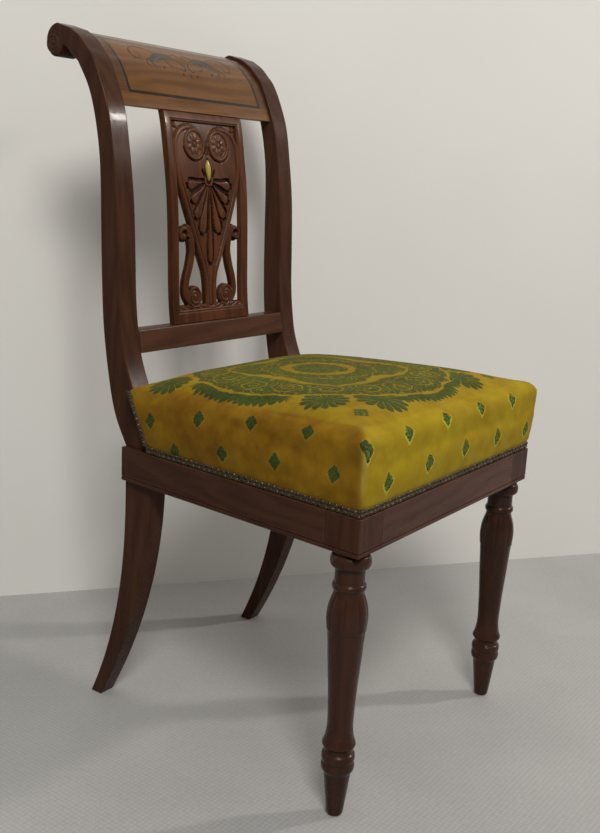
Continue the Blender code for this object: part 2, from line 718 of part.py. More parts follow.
def drop_outline(spare=0.0):
    """The pale drop above the palmette: a lens with a fuller head."""
    turns = np.linspace(0.0, 2.0 * math.pi, DISC_SEGMENTS // 2, endpoint=False)
    half_width = DROP_WIDTH / 2 + spare
    half_length = DROP_LENGTH / 2 + spare
    fullness = np.sin(turns) * (1.0 + DROP_HEAD_FULLNESS * np.cos(turns))
    x = half_width * fullness / np.max(fullness)
    z = DROP_RISE + half_length * np.cos(turns)
    return np.column_stack([x, z]).tolist()


def panel(half, low, high):
    """A squared outline about the splat's middle."""
    return [(-half, low), (half, low), (half, high), (-half, high)]


def splat_layers():
    """The flat shapes of the carving: name, outline and front depth, one for each thing carved."""
    reach = (SPLAT_WIDTH - SPLAT_BAR) / 2
    edge = heart_edge()
    yield "heart", np.vstack([edge, (edge * [-1.0, 1.0])[::-1]]).tolist(), HEART_SINK
    ground = panel(reach, HEART_EDGE[-1][1], SPLAT_HEIGHT - SPLAT_TOP_BAR / 2)
    yield "ground", ground, GROUND_SINK
    foot = panel(reach, SPLAT_FOOT_BAR / 2, SPLAT_FOOT_BAR + FOOT_MOULD_HEIGHT)
    yield "foot_mould", foot, FOOT_MOULD_SINK
    for name, side in (("left", -1.0), ("right", 1.0)):
        mirror = np.array([side, 1.0])
        yield "lobe_" + name, lobe_outline(side), LOBE_SINK
        band = ribbon(edge - [BAND_WIDTH / 2, 0.0], BAND_WIDTH)
        yield "band_" + name, (np.array(band) * mirror).tolist(), BAND_SINK
        path = smooth_curve(SIDE_SCROLL_PATH, STILE_SPAN_STEPS) * mirror
        yield "side_scroll_" + name, ribbon(path, SIDE_SCROLL_WIDTH), SCROLL_SINK


def palmette_leaves():
    """The palmette's leaves and its middle spear: name and outline."""
    start = PALMETTE_LEAF_START
    for name, side in (("left", -1.0), ("right", 1.0)):
        for rank, (angle, length) in enumerate(PALMETTE_LEAVES):
            leaf = leaf_outline(side * angle, start, length, PALMETTE_LEAF_WIDTH)
            yield "leaf_%s_%d" % (name, rank), leaf
    yield "spear", leaf_outline(180.0, start, PALMETTE_SPEAR, PALMETTE_SPEAR_WIDTH)


def splat_volutes():
    """The eyes of the side scrolls: name, centre and radius."""
    for name, side in (("left", -1.0), ("right", 1.0)):
        mirror = np.array([side, 1.0])
        yield "upper_volute_" + name, mirror * UPPER_VOLUTE, UPPER_VOLUTE_RADIUS
        yield "lower_volute_" + name, mirror * LOWER_VOLUTE, LOWER_VOLUTE_RADIUS


def splat_rosettes():
    """The rosettes in the heart's lobes and their bosses: name, centre, radius and front depth."""
    for name, side in (("left", -1.0), ("right", 1.0)):
        centre = (side * LOBE_OUT, LOBE_RISE)
        yield "rosette_" + name, centre, ROSETTE_RADIUS, ROSETTE_SINK
        yield "rosette_boss_" + name, centre, ROSETTE_BOSS, BOSS_SINK


def bent_to_back(piece):
    """Cuts a flat carving into level strips and bends it to the line of the stiles' front faces."""
    shape = bmesh.new()
    shape.from_mesh(piece.data)
    heights = [v.co.z for v in shape.verts]
    level = min(heights) + SPLAT_BEND_STEP
    while level < max(heights) - CLEARANCE:
        bmesh.ops.bisect_plane(shape, geom=shape.verts[:] + shape.edges[:] + shape.faces[:],
                               plane_co=(0.0, 0.0, level), plane_no=(0.0, 0.0, 1.0), dist=1e-6)
        level += SPLAT_BEND_STEP
    bmesh.ops.triangulate(shape, faces=shape.faces[:])
    for vert in shape.verts:
        vert.co.z += LOWER_RAIL_TOP
        vert.co.y += back_face(vert.co.z) + SPLAT_SETBACK
    shape.to_mesh(piece.data)
    shape.free()
    return piece


def build_splat(wood, pale_wood):
    half = SPLAT_WIDTH / 2
    frame = panel(half, CLEARANCE, SPLAT_HEIGHT - CLEARANCE)
    window = panel(half - SPLAT_BAR, SPLAT_FOOT_BAR, SPLAT_HEIGHT - SPLAT_TOP_BAR)
    splat = add_piece("splat", prism_y(frame, 0.0, SPLAT_THICKNESS), wood)
    cut(splat, add_piece("splat_window", prism_y(window, -OVERCUT, OVERCUT), wood))
    back = SPLAT_THICKNESS - BACK_SINK
    for rank, (name, outline, depth) in enumerate(splat_layers()):
        join(splat, add_piece("splat_" + name, prism_y(outline, depth, back - rank * BACK_STEP), wood))
    for name, outline in palmette_leaves():
        join(splat, add_piece("splat_" + name, prism_y(outline, LEAF_SINK, back / 2), wood))
    for name, centre, radius in splat_volutes():
        volute = disc(centre, radius, (VOLUTE_SINK, SPLAT_THICKNESS - BACK_SINK / 2))
        join(splat, add_piece("splat_" + name, volute, wood))
    for name, centre, radius, depth in splat_rosettes():
        join(splat, add_piece("splat_" + name, disc(centre, radius, (depth, back / 2)), wood))
    floor = HEART_SINK + DROP_DEPTH
    pocket = prism_y(drop_outline(CLEARANCE), -OVERCUT, floor + CLEARANCE)
    cut(splat, add_piece("splat_drop_pocket", pocket, wood))
    bent_to_back(settled(splat))
    join(splat, add_piece("splat_top_tongue", top_tongue(SPLAT_TOP_BAR / 2), wood),
         add_piece("splat_foot_tongue", foot_tongue(SPLAT_FOOT_BAR / 2), wood))
    bent_to_back(add_piece("splat_drop_inlay", prism_y(drop_outline(), DROP_PROUD, floor), pale_wood))


def build_seat_frame(wood, peg_wood):
    reach = block_inner() - CLEARANCE
    front = add_piece("seat_rail_front", prism_x(rail_section(0.0, 1.0), -reach, reach), wood)
    join(front, *(add_piece("front_tenon_" + name, front_tenon(side), wood)
                  for name, side in (("left", -1.0), ("right", 1.0))))
    through_rail("seat_rail_rear", rail_section(SEAT_END, -1.0), seat_tenon(), wood)
    for name, side in (("left", -1.0), ("right", 1.0)):
        rail = add_piece("seat_rail_" + name, side_rail_shape(side), wood)
        join(rail, add_piece("side_tenon_" + name, side_tenon(side), wood))
        behind = (SEAT_DEPTH - CLEARANCE, SEAT_END + OVERCUT)
        notch = block((side * (STILE_INNER - OVERCUT), side * (STILE_OUTER + CLEARANCE)), behind,
                      (RAIL_BOTTOM - OVERCUT, LIP_TOP + OVERCUT))
        ledge = block((side * STILE_INNER, side * (FRONT_WIDTH / 2)), behind,
                      (RAIL_TOP, LIP_TOP + OVERCUT))
        cut(rail, add_piece("stile_notch_" + name, notch, wood),
            add_piece("stile_ledge_" + name, ledge, wood),
            add_piece("rail_peg_hole_" + name, peg_shape(side, CLEARANCE), wood),
            add_piece("rail_chamfer_" + name, rail_end_chamfer(side), wood))
        leg = smooth_shaded(add_piece("front_leg_" + name, leg_turning_shape(side), wood))
        join(leg, add_piece("leg_block_" + name, leg_block_shape(side), wood))
        lip = corner_rebate(side, TACK_LIP_SETBACK, RAIL_TOP, LIP_TOP + OVERCUT)
        bead = RAIL_BOTTOM + BEAD_HEIGHT
        groove = corner_rebate(side, BEAD_GROOVE_DEPTH, bead, bead + BEAD_GROOVE_WIDTH)
        cut(leg, add_piece("leg_lip_" + name, lip, wood), add_piece("leg_groove_" + name, groove, wood),
            add_piece("front_mortise_" + name, front_tenon(side, CLEARANCE), wood),
            add_piece("side_mortise_" + name, side_tenon(side, CLEARANCE), wood),
            add_piece("leg_peg_hole_" + name, peg_shape(side, CLEARANCE), wood))
        smooth_shaded(add_piece("tenon_peg_" + name, peg_shape(side), peg_wood))


def build_webbing(jute, hessian):
    """Interlaced straps over the rails, and the hessian laid on them."""
    base = LIP_TOP + CLEARANCE
    front = TACK_LIP_SETBACK + CLEARANCE
    rear = SEAT_END - TACK_LIP_SETBACK - CLEARANCE
    for i in range(LONG_STRAPS):
        middle = (i - (LONG_STRAPS - 1) / 2) * LONG_STRAP_PITCH
        strap = block((middle - WEBBING_WIDTH / 2, middle + WEBBING_WIDTH / 2), (front, rear),
                      (base, base + WEBBING_THICKNESS))
        add_piece("webbing_long_%d" % (i + 1), strap, jute)
    upper = base + WEBBING_THICKNESS + CLEARANCE
    centre = (RAIL_THICKNESS + SEAT_DEPTH) / 2
    for i in range(CROSS_STRAPS):
        middle = centre + (i - (CROSS_STRAPS - 1) / 2) * CROSS_STRAP_PITCH
        y0, y1 = middle - WEBBING_WIDTH / 2, middle + WEBBING_WIDTH / 2
        half = side_face(y1) - RAIL_THICKNESS + WEBBING_LAP
        strap = block((-half, half), (y0, y1), (upper, upper + WEBBING_THICKNESS))
        add_piece("webbing_cross_%d" % (i + 1), strap, jute)
    top = upper + WEBBING_THICKNESS + CLEARANCE
    inset = TACK_LIP_SETBACK + CLEARANCE
    corners = [(-side_face(front) + inset, front), (side_face(front) - inset, front),
               (side_face(rear) - inset, rear), (-side_face(rear) + inset, rear)]
    sheet = add_piece("hessian_sheet", prism_z(corners, top, top + HESSIAN_THICKNESS), hessian)
    cut(sheet, *stile_clear_cutters("hessian", hessian))
    return top + HESSIAN_THICKNESS + CLEARANCE


def stile_clear_cutters(name, material):
    """Cutters that keep the upholstery clear of the two stiles and all that lies behind their fronts."""
    heights = np.linspace(0.0, COVER_EDGE_RISE + COVER_CROWN + OVERCUT, CUSHION_CELLS)
    line = [(back_face(RAIL_TOP + h) - COVER_GAP_TO_STILE, RAIL_TOP + h) for h in heights]
    foot = (line[0][0], RAIL_BOTTOM)
    deep = SEAT_END + COVER_EDGE_RISE
    outline = [foot, *line, (deep, line[-1][1]), (deep, RAIL_BOTTOM)]
    for side_name, side in (("left", -1.0), ("right", 1.0)):
        ends = sorted((side * (STILE_INNER - COVER_GAP_TO_STILE), side * FRONT_WIDTH))
        yield add_piece("%s_clear_%s" % (name, side_name), prism_x(outline, *ends), material)


def rear_fall(y):
    """How much lower the stuffed edge is at a depth y than at the front."""
    return COVER_REAR_FALL * (y / SEAT_END) ** 2


def cushion_row(outset, rise, fall=0.0):
    """The seat's outline in plan, moved out by a distance, at a rise above the rail's top;
    fall is the share of the rear's lower edge that the row takes."""
    shares = np.linspace(0.0, 1.0, CUSHION_CELLS, endpoint=False)
    y0, y1 = -outset, SEAT_END + outset
    corners = [(-side_face(y0) - outset, y0), (side_face(y0) + outset, y0),
               (side_face(y1) + outset, y1), (-side_face(y1) - outset, y1)]
    row = []
    for (xa, ya), (xb, yb) in zip(corners, corners[1:] + corners[:1]):
        for s in shares:
            y = ya + (yb - ya) * s
            row.append((xa + (xb - xa) * s, y, RAIL_TOP + rise - fall * rear_fall(y)))
    return row


def cushion_rings(inset, bottom):
    """Outlines of the stuffed seat from its lower edge to its shoulder, drawn in by an inset."""
    tuck = CLEARANCE + COVER_THICKNESS - TACK_LIP_SETBACK
    straight = TACK_LIP_HEIGHT
    rows = [cushion_row(tuck - inset, bottom),
            cushion_row(tuck - inset, max(straight, bottom + CLEARANCE))]
    for share in np.linspace(0.0, 1.0, CUSHION_SIDE_ROWS + 1)[1:]:
        rise = straight + (COVER_EDGE_RISE - COVER_SHOULDER - straight) * share
        swell = math.sin(math.pi / 2 * min(share / COVER_BULGE_SHARE, 1.0))
        bulge = tuck + (COVER_BULGE - tuck) * swell
        rows.append(cushion_row(bulge - inset, max(rise, bottom + 2 * CLEARANCE), share))
    for angle in np.linspace(0.0, math.pi / 2, CUSHION_SHOULDER_ROWS + 1)[1:]:
        outset = COVER_BULGE - COVER_SHOULDER * (1.0 - math.cos(angle))
        rise = COVER_EDGE_RISE - COVER_SHOULDER * (1.0 - math.sin(angle))
        rows.append(cushion_row(outset - inset, rise - inset * math.sin(angle), 1.0))
    return rows


def crown_share(place):
    """The share of the crown at a place across the seat, from -1 at one edge to +1 at the other."""
    return 1.0 - abs(place) ** COVER_CROWN_FULLNESS


def cushion_top(outline, height):
    """Fills the shoulder outline with a domed grid: rows of points across the seat."""
    n = CUSHION_CELLS
    front, right, rear, left = (outline[k * n:(k + 1) * n] for k in range(4))
    front_row = front + [right[0]]
    rear_row = (rear + [left[0]])[::-1]
    grid = []
    for j in range(n + 1):
        v = j / n
        row = []
        for i in range(n + 1):
            u = i / n
            x = front_row[i][0] * (1 - v) + rear_row[i][0] * v
            y = front_row[i][1] * (1 - v) + rear_row[i][1] * v
            dome = crown_share(2 * u - 1) * crown_share(2 * v - 1)
            row.append((x, y, height - rear_fall(y) + COVER_CROWN * dome))
        grid.append(row)
    return grid


def cushion_surface(shape, inset, bottom):
    """Adds one side-and-top surface of the stuffed seat to a shape; gives back its lowest outline."""
    rows = cushion_rings(inset, bottom)
    grid = cushion_top(rows[-1], RAIL_TOP + COVER_EDGE_RISE - inset)
    rings = [[shape.verts.new(point) for point in row] for row in rows]
    count = len(rings[0])
    n = CUSHION_CELLS
    for lower, upper in zip(rings, rings[1:]):
        for i in range(count):
            j = (i + 1) % count
            shape.faces.new((lower[i], lower[j], upper[j], upper[i]))
    rim = rings[-1]
    border = {}
    for i in range(n + 1):
        border[(0, i)] = rim[i]
        border[(i, n)] = rim[n + i]
        border[(n, n - i)] = rim[2 * n + i]
        border[(n - i, 0)] = rim[(3 * n + i) % count]
    mesh = [[border.get((j, i)) or shape.verts.new(grid[j][i]) for i in range(n + 1)] for j in range(n + 1)]
    for j in range(n):
        for i in range(n):
            shape.faces.new((mesh[j][i], mesh[j][i + 1], mesh[j + 1][i + 1], mesh[j + 1][i]))
    return rings[0]


def build_cushion(velvet, horsehair, bed):
    """The velvet cover, open below, and the stuffing that it is drawn over."""
    cover = bmesh.new()
    outer = cushion_surface(cover, 0.0, CLEARANCE)
    inner = cushion_surface(cover, COVER_THICKNESS, CLEARANCE)
    for i in range(len(outer)):
        j = (i + 1) % len(outer)
        cover.faces.new((outer[i], outer[j], inner[j], inner[i]))
    cover_piece = smooth_shaded(add_piece("seat_cover", cover, velvet), CUSHION_SHARP_ANGLE)
    cut(cover_piece, *stile_clear_cutters("cover", velvet))
    stuffing = bmesh.new()
    lowest = cushion_surface(stuffing, COVER_THICKNESS + CLEARANCE, bed - RAIL_TOP)
    stuffing.faces.new(lowest[::-1])
    stuffing_piece = add_piece("seat_stuffing", stuffing, horsehair)
    smooth_shaded(stuffing_piece, CUSHION_SHARP_ANGLE)
    cut(stuffing_piece, *stile_clear_cutters("stuffing", horsehair))


def build_gimp(braid):
    """The braid along the velvet's lower edge, on the front, the sides and the back."""
    low, high = RAIL_TOP + CLEARANCE, RAIL_TOP + CLEARANCE + GIMP_HEIGHT
    inner = TACK_LIP_SETBACK - 2 * CLEARANCE - COVER_THICKNESS
    outer = inner - GIMP_THICKNESS
    half = side_face(outer) - outer
    add_piece("gimp_front", block((-half, half), (outer, inner), (low, high)), braid)
    y0, y1 = inner + CLEARANCE, SEAT_DEPTH - CLEARANCE
    for name, side in (("left", -1.0), ("right", 1.0)):
        strip = [(side_face(y0) - outer, y0), (side_face(y1) - outer, y1),
                 (side_face(y1) - inner, y1), (side_face(y0) - inner, y0)]
        add_piece("gimp_" + name, prism_z([(side * x, y) for x, y in strip], low, high), braid)
    reach = STILE_INNER - CLEARANCE
    add_piece("gimp_rear", block((-reach, reach), (SEAT_END - inner, SEAT_END - outer), (low, high)), braid)


def main():
    clear_scene()
    middle = bpy.data.objects.new("chair_middle", None)
    middle.location = (0.0, -(FOREMOST + REARMOST) / 2, 0.0)
    bpy.context.scene.collection.objects.link(middle)
    mahogany = finish("polished_mahogany", (0.115, 0.036, 0.018), 0.28)
    crest_veneer = finish("crest_veneer", (0.230, 0.085, 0.028), 0.26)
    ebony = finish("ebony_string", (0.012, 0.009, 0.008), 0.35)
    boxwood = finish("boxwood_inlay", (0.420, 0.330, 0.080), 0.35)
    oak = finish("oak_peg", (0.140, 0.050, 0.028), 0.45)
    velvet = finish("gold_velvet", (0.370, 0.215, 0.012), 0.85)
    horsehair = finish("horsehair", (0.060, 0.040, 0.028), 0.95)
    jute = finish("jute_webbing", (0.330, 0.230, 0.120), 0.90)
    hessian = finish("hessian", (0.380, 0.270, 0.140), 0.92)
    braid = finish("bronze_braid", (0.075, 0.050, 0.028), 0.60)
    build_seat_frame(mahogany, oak)
    build_stiles(mahogany)
    build_lower_rail(mahogany)
    build_crest(crest_veneer, ebony)
    build_splat(mahogany, boxwood)
    bed = build_webbing(jute, hessian)
    build_cushion(velvet, horsehair, bed)
    build_gimp(braid)


main()
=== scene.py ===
"""Palmette back chair: polished mahogany, a carved and pierced splat, an inlaid crest and a stuffed velvet seat.

Depths are written back from the front rail's face, as a maker measures them, and moved into the frame once.
"""
import functools
import math

import bmesh
import bpy
import numpy as np
from mathutils import Matrix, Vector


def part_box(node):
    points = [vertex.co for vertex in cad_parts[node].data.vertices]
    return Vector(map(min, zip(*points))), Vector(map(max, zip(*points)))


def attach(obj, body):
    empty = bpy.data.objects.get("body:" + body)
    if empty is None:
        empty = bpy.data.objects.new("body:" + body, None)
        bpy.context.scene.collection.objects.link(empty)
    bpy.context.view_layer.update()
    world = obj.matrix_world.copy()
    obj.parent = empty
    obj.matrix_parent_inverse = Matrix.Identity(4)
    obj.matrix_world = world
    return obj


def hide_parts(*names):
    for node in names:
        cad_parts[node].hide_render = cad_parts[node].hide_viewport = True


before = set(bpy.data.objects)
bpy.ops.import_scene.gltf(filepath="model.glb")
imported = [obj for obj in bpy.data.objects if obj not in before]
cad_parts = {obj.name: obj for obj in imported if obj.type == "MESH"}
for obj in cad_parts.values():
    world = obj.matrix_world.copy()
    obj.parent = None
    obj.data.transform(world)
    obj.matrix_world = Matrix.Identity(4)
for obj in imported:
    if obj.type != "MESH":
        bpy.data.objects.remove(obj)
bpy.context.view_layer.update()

# seat frame
FRONT_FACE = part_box("seat_rail_front")[0].y
RAIL_TOP = 0.376
RAIL_BOTTOM = 0.331
LIP_TOP = 0.390
LIP_INSET = 0.013
RAIL_THICKNESS = 0.026
FRONT_HALF = 0.2155
SEAT_DEPTH = 0.3435
SEAT_END = 0.3875
STILE_INNER = 0.1521
STILE_OUTER = 0.1839
CHEEK = 0.0067
SPLAY = (FRONT_HALF - STILE_OUTER - CHEEK) / SEAT_END
LEG_BLOCK = 0.048
BEAD_TOP = RAIL_BOTTOM + 0.005
BEAD_GROOVE = (0.0013, 0.0012)
ARRIS = 0.0012
JOINT = 0.0003
SIDES = (("left", -1.0), ("right", 1.0))

# rear legs and stiles, as (back, up) from the rail
STILE_FRONT_LINE = [
    (0.0, 0.0), (0.0130, 0.038), (0.0330, 0.078), (0.0475, 0.115), (0.0540, 0.148), (0.0585, 0.187),
    (0.0610, 0.238), (0.0635, 0.289), (0.0665, 0.326), (0.0735, 0.375), (0.0830, 0.425), (0.0985, 0.464),
    (0.1115, 0.487),
]
STILE_OVER_LINE = [(0.1215, 0.4975), (0.1345, 0.510), (0.1520, 0.5205)]
STILE_REAR_LINE = [
    (0.0, 0.0), (0.0175, 0.031), (0.0265, 0.056), (0.0325, 0.082), (0.0395, 0.121), (0.0445, 0.160),
    (0.0475, 0.211), (0.0495, 0.274), (0.0510, 0.330), (0.0535, 0.367), (0.0595, 0.403), (0.0675, 0.433),
    (0.0765, 0.454), (0.0935, 0.480),
]
SCROLL_CENTRE = (SEAT_DEPTH + 0.1745, RAIL_TOP + 0.506)
SCROLL_RADIUS = 0.021
SCROLL_EYE = (0.5258, 0.8792)
SCROLL_HOLLOW = [
    (0.5262, 0.8628), (0.5212, 0.8622), (0.5160, 0.8646), (0.5118, 0.8692), (0.5088, 0.8742), (0.5066, 0.8756),
    (0.5036, 0.8744), (0.4950, 0.8672), (0.4880, 0.8612),
]
FOOT_FRONT = (0.0925, 2.0)
FOOT_REAR = (0.0675, 2.4)
FOOT_TAPER = (0.0032, 0.0041)
STILE_ARRIS = 0.0020

# crest, lower rail
CREST_BOTTOM = RAIL_TOP + 0.430
CREST_SETBACK = 0.005
STRING_WIDTH = 0.0040
STRING_MARGIN = 0.0185
LOWER_RAIL_TOP = RAIL_TOP + 0.148
LOWER_RAIL_HEIGHT = 0.030
LOWER_RAIL_DEPTH = 0.022

# splat, as (across, up) from the lower rail
SPLAT_HALF = 0.080
SPLAT_HEIGHT = CREST_BOTTOM - LOWER_RAIL_TOP
SPLAT_THICKNESS = 0.010
SPLAT_SETBACK = 0.004
SPLAT_BARS = (0.014, 0.012, 0.018)
PANEL_HALF = 0.0672
HEART_EDGE = [
    (0.0120, 0.014), (0.0120, 0.048), (0.0155, 0.068), (0.0240, 0.088), (0.0340, 0.112), (0.0435, 0.136),
    (0.0520, 0.158), (0.0600, 0.180), (0.0655, 0.200), (0.0680, 0.222),
]
LOBE = (0.025, 0.241)
LOBE_ROUND = (0.0340, 0.2330, 0.0338)
SIDE_SCROLL = [
    (0.0470, 0.1285), (0.0425, 0.1200), (0.0390, 0.1090), (0.0380, 0.0960), (0.0425, 0.0760),
    (0.0495, 0.0560), (0.0505, 0.0390), (0.0430, 0.0265),
]
SIDE_SCROLL_HALF = 0.0060
UPPER_VOLUTE = (0.0535, 0.1210, 0.0112)
LOWER_VOLUTE = (0.0330, 0.0350, 0.0150)
BAND_HALF = 0.0038
ROSETTE_REACH = 0.0160
ROSETTE_RING = (0.0187, 0.0028)
CORNER_LEAF = (0.0600, 0.2645)
PALMETTE_RISE = 0.193
PALMETTE_LEAVES = [(99.0, 0.044), (128.0, 0.046), (150.0, 0.058), (166.0, 0.073)]
SPEAR_LENGTH = 0.112
LEAF_START = 0.009
LEAF_WIDTH, SPEAR_WIDTH = 0.0135, 0.0085
LEAF_ALONG = [0.0, 0.30, 0.55, 0.75, 0.90, 0.98, 1.0]
LEAF_ACROSS = [0.04, 0.12, 0.27, 0.43, 0.45, 0.31, 0.0]
DROP_RISE = 0.207
DROP_HALF_LENGTH, DROP_HALF_WIDTH = 0.0140, 0.0047
GROUND_DEPTH = 0.0046
CUT_DEPTH = 0.0056
NET_STEP = 0.00079

# front legs, as (height, diameter)
LEG_TURNING = [
    (0.0000, 0.0140), (0.0015, 0.0184), (0.0060, 0.0206), (0.0555, 0.0324), (0.0585, 0.0346), (0.0606, 0.0380),
    (0.0645, 0.0394), (0.0682, 0.0386), (0.0705, 0.0366), (0.0728, 0.0386), (0.0766, 0.0394), (0.0806, 0.0380),
    (0.0830, 0.0334), (0.0862, 0.0326), (0.0890, 0.0344), (0.0912, 0.0386), (0.0928, 0.0396), (0.0948, 0.0390),
    (0.1000, 0.0352), (0.1085, 0.0320), (0.1200, 0.0304), (0.1580, 0.0334), (0.1960, 0.0386), (0.2350, 0.0438),
    (0.2358, 0.0454), (0.2430, 0.0472), (0.2510, 0.0480), (0.2580, 0.0472), (0.2660, 0.0446), (0.2750, 0.0392),
    (0.2805, 0.0352), (0.2840, 0.0352), (0.2856, 0.0380), (0.2885, 0.0393), (0.2914, 0.0380), (0.2930, 0.0352),
    (0.2970, 0.0344), (0.3105, 0.0352), (0.3118, 0.0415), (0.3146, 0.0460), (0.3185, 0.0474), (0.3224, 0.0462),
    (0.3262, 0.0425), (0.3280, 0.0380), (0.3320, 0.0380),
]
PETALS = 8
PETAL_SPAN = (0.2362, 0.2800)

# seat
EDGE_RISE = 0.0945
CROWN = 0.0150
CROWN_FULLNESS = 5.0
REAR_FALL = 0.0145
BULGE = 0.0060
SHOULDER = 0.017
TUCK = -0.0027
WALL_FOOT = 0.0020
BED = 0.3956
SEAT_MIDDLE = 0.190
COVER_INSET = 0.0016
NET_SIZE = 0.0046
MOST_SWELL = 0.0035

# the velvet's design: distances from the medallion's middle, then the florets
MEDALLION_MIDDLE = 0.214
MEDALLION = 0.1662
FRINGE_ROOT, FRINGE_TIP, LEAFLET = 0.1720, 0.1825, 0.0075
GOLD_BAND = 0.1075
GOLD_RING = 0.0445
FINE_RING = 0.0700
SCROLL_ROUND = 0.1390
SCROLLS = 18.0
CORNER_SPRAYS = [(0.151, 0.099, -37.0, 0.029), (0.098, 0.057, -57.0, 0.033), (0.163, 0.328, 35.0, 0.028),
                 (0.099, 0.371, 57.0, 0.028)]
FLORET = 0.0112
FLORET_PITCH, FLORET_DROP = 0.086, 0.043

# braid and nails
BRAID_LOW, BRAID_HIGH = RAIL_TOP + 0.0004, RAIL_TOP + 0.0099
BRAID_CLEAR = 0.0006
NAIL_SIZE, NAIL_PITCH = 0.0022, 0.0088
NAIL_ROWS = ((0.0023, 0.25), (0.0071, 0.75))

# webbing and hessian
STRAP_HALF = 0.025
STRAP_SETBACK = 0.0145
STRAP_THICKNESS = 0.0011
SHEET_SETBACK = 0.0146
SHEET_DEPTH = SEAT_DEPTH - 0.0160

# camera
EYE = (-1.0991, -0.5470, 0.7320)
YAW, PITCH, ROLL = -0.9485, 0.2322, 0.0527
LENS = 44.16

# room: two points on the wall's foot, and each lamp's place, aim, size, power and colour
WALL_FOOTING = ((-0.0616, 0.8121), (0.9034, 0.1054))
LAMPS = [
    ("room_lamp", (-1.735, -1.66, 2.61), (0.0, 0.0, 0.45), (0.75, 0.75), 66.0, (1.0, 0.98, 0.95)),
    ("window_light", (1.90, -1.73, 1.82), (0.0, 0.0, 0.50), (0.13, 0.16), 29.0, (1.0, 0.93, 0.88)),
    ("ceiling_light", (0.0, -0.5, 2.9), (0.0, 0.0, 0.0), (2.6, 2.6), 13.0, (1.0, 1.0, 1.0)),
]


# ---- working in sums of shader values


class Field:
    """A shader value that is written into sums: each operation adds one Math node to its tree."""

    def __init__(self, tree, socket):
        self.tree, self.socket = tree, socket

    def sum(self, operation, *others, clamp=False):
        made = node(self.tree, "ShaderNodeMath", operation=operation, use_clamp=clamp)
        for value, entry in zip((self, *others), made.inputs):
            feed(self.tree, value, entry)
        return Field(self.tree, made.outputs[0])

    def __add__(self, other):
        return self.sum("ADD", other)

    def __sub__(self, other):
        return self.sum("SUBTRACT", other)

    def __mul__(self, other):
        return self.sum("MULTIPLY", other)

    def __truediv__(self, other):
        return self.sum("DIVIDE", other)

    def __abs__(self):
        return self.sum("ABSOLUTE")

    def clamped(self):
        """The value, kept from 0 to 1."""
        return self.sum("ADD", 0.0, clamp=True)

    def under(self, limit, soft):
        """1 where the value is under a limit, 0 above it, with a soft edge."""
        return (self * (-1.0 / soft) + (0.5 + limit / soft)).clamped()

    def over(self, limit, soft):
        """1 where the value is over a limit, 0 under it, with a soft edge."""
        return (self * -1.0).under(-limit, soft)

    def most(self, other):
        return self.sum("MAXIMUM", other)

    def part(self):
        """The part after the point, moved to run from -0.5 to 0.5."""
        return self.sum("FRACT") - 0.5

    def wave(self):
        return self.sum("COSINE")

    def power(self, other):
        return self.sum("POWER", other)


def hypotenuse(a, b):
    return (a * a + b * b).power(0.5)


def feed(tree, value, entry):
    """Links a value to a node's entry, or sets the entry where the value is a plain number or colour."""
    if isinstance(value, Field):
        value = value.socket
    if isinstance(value, bpy.types.NodeSocket):
        tree.links.new(value, entry)
    else:
        entry.default_value = value


def fill(tree, made, **settings):
    """Feeds a node's entries by their names; a name that is no entry is one of the node's own properties."""
    for name, value in settings.items():
        entry = made.inputs.get(name.replace("_", " "))
        if entry is None:
            setattr(made, name, value)
        else:
            feed(tree, value, entry)
    return made


def node(tree, kind, **settings):
    return fill(tree, tree.nodes.new(kind), **settings)


def noise(tree, place, scale, detail, **settings):
    made = node(tree, "ShaderNodeTexNoise", Vector=place, Scale=scale, Detail=detail, **settings)
    return Field(tree, made.outputs[0])


def object_place(tree):
    return tree.nodes.new("ShaderNodeTexCoord").outputs["Object"]


def parts(tree, place):
    """The x, y and z of a place."""
    return [Field(tree, socket) for socket in node(tree, "ShaderNodeSeparateXYZ", Vector=place).outputs]


def mark(tree, name):
    """A value that is written in the piece's own points."""
    return Field(tree, node(tree, "ShaderNodeAttribute", attribute_name=name).outputs["Fac"])


def blend(tree, share, first, second):
    """Mixes two colours by a share."""
    mixer = node(tree, "ShaderNodeMix", data_type="RGBA")
    for value, place in ((share, 0), (first, 6), (second, 7)):
        feed(tree, value, mixer.inputs[place])
    return mixer.outputs[2]


def open_group(name, inputs, outputs):
    """Starts a node group with named sockets; gives back its tree, its input node and its output node."""
    tree = bpy.data.node_groups.new(name, "ShaderNodeTree")
    for way, sockets in (("INPUT", inputs), ("OUTPUT", outputs)):
        for label, kind in sockets.items():
            tree.interface.new_socket(label, in_out=way, socket_type="NodeSocket" + kind)
    return tree, tree.nodes.new("NodeGroupInput"), tree.nodes.new("NodeGroupOutput")


def use_group(tree, group, **entries):
    return node(tree, "ShaderNodeGroup", node_tree=group, **entries)


def open_finish(name):
    """Starts a material; gives back it, its tree and its Principled shader."""
    material = bpy.data.materials.new(name)
    material.use_nodes = True
    return material, material.node_tree, material.node_tree.nodes["Principled BSDF"]


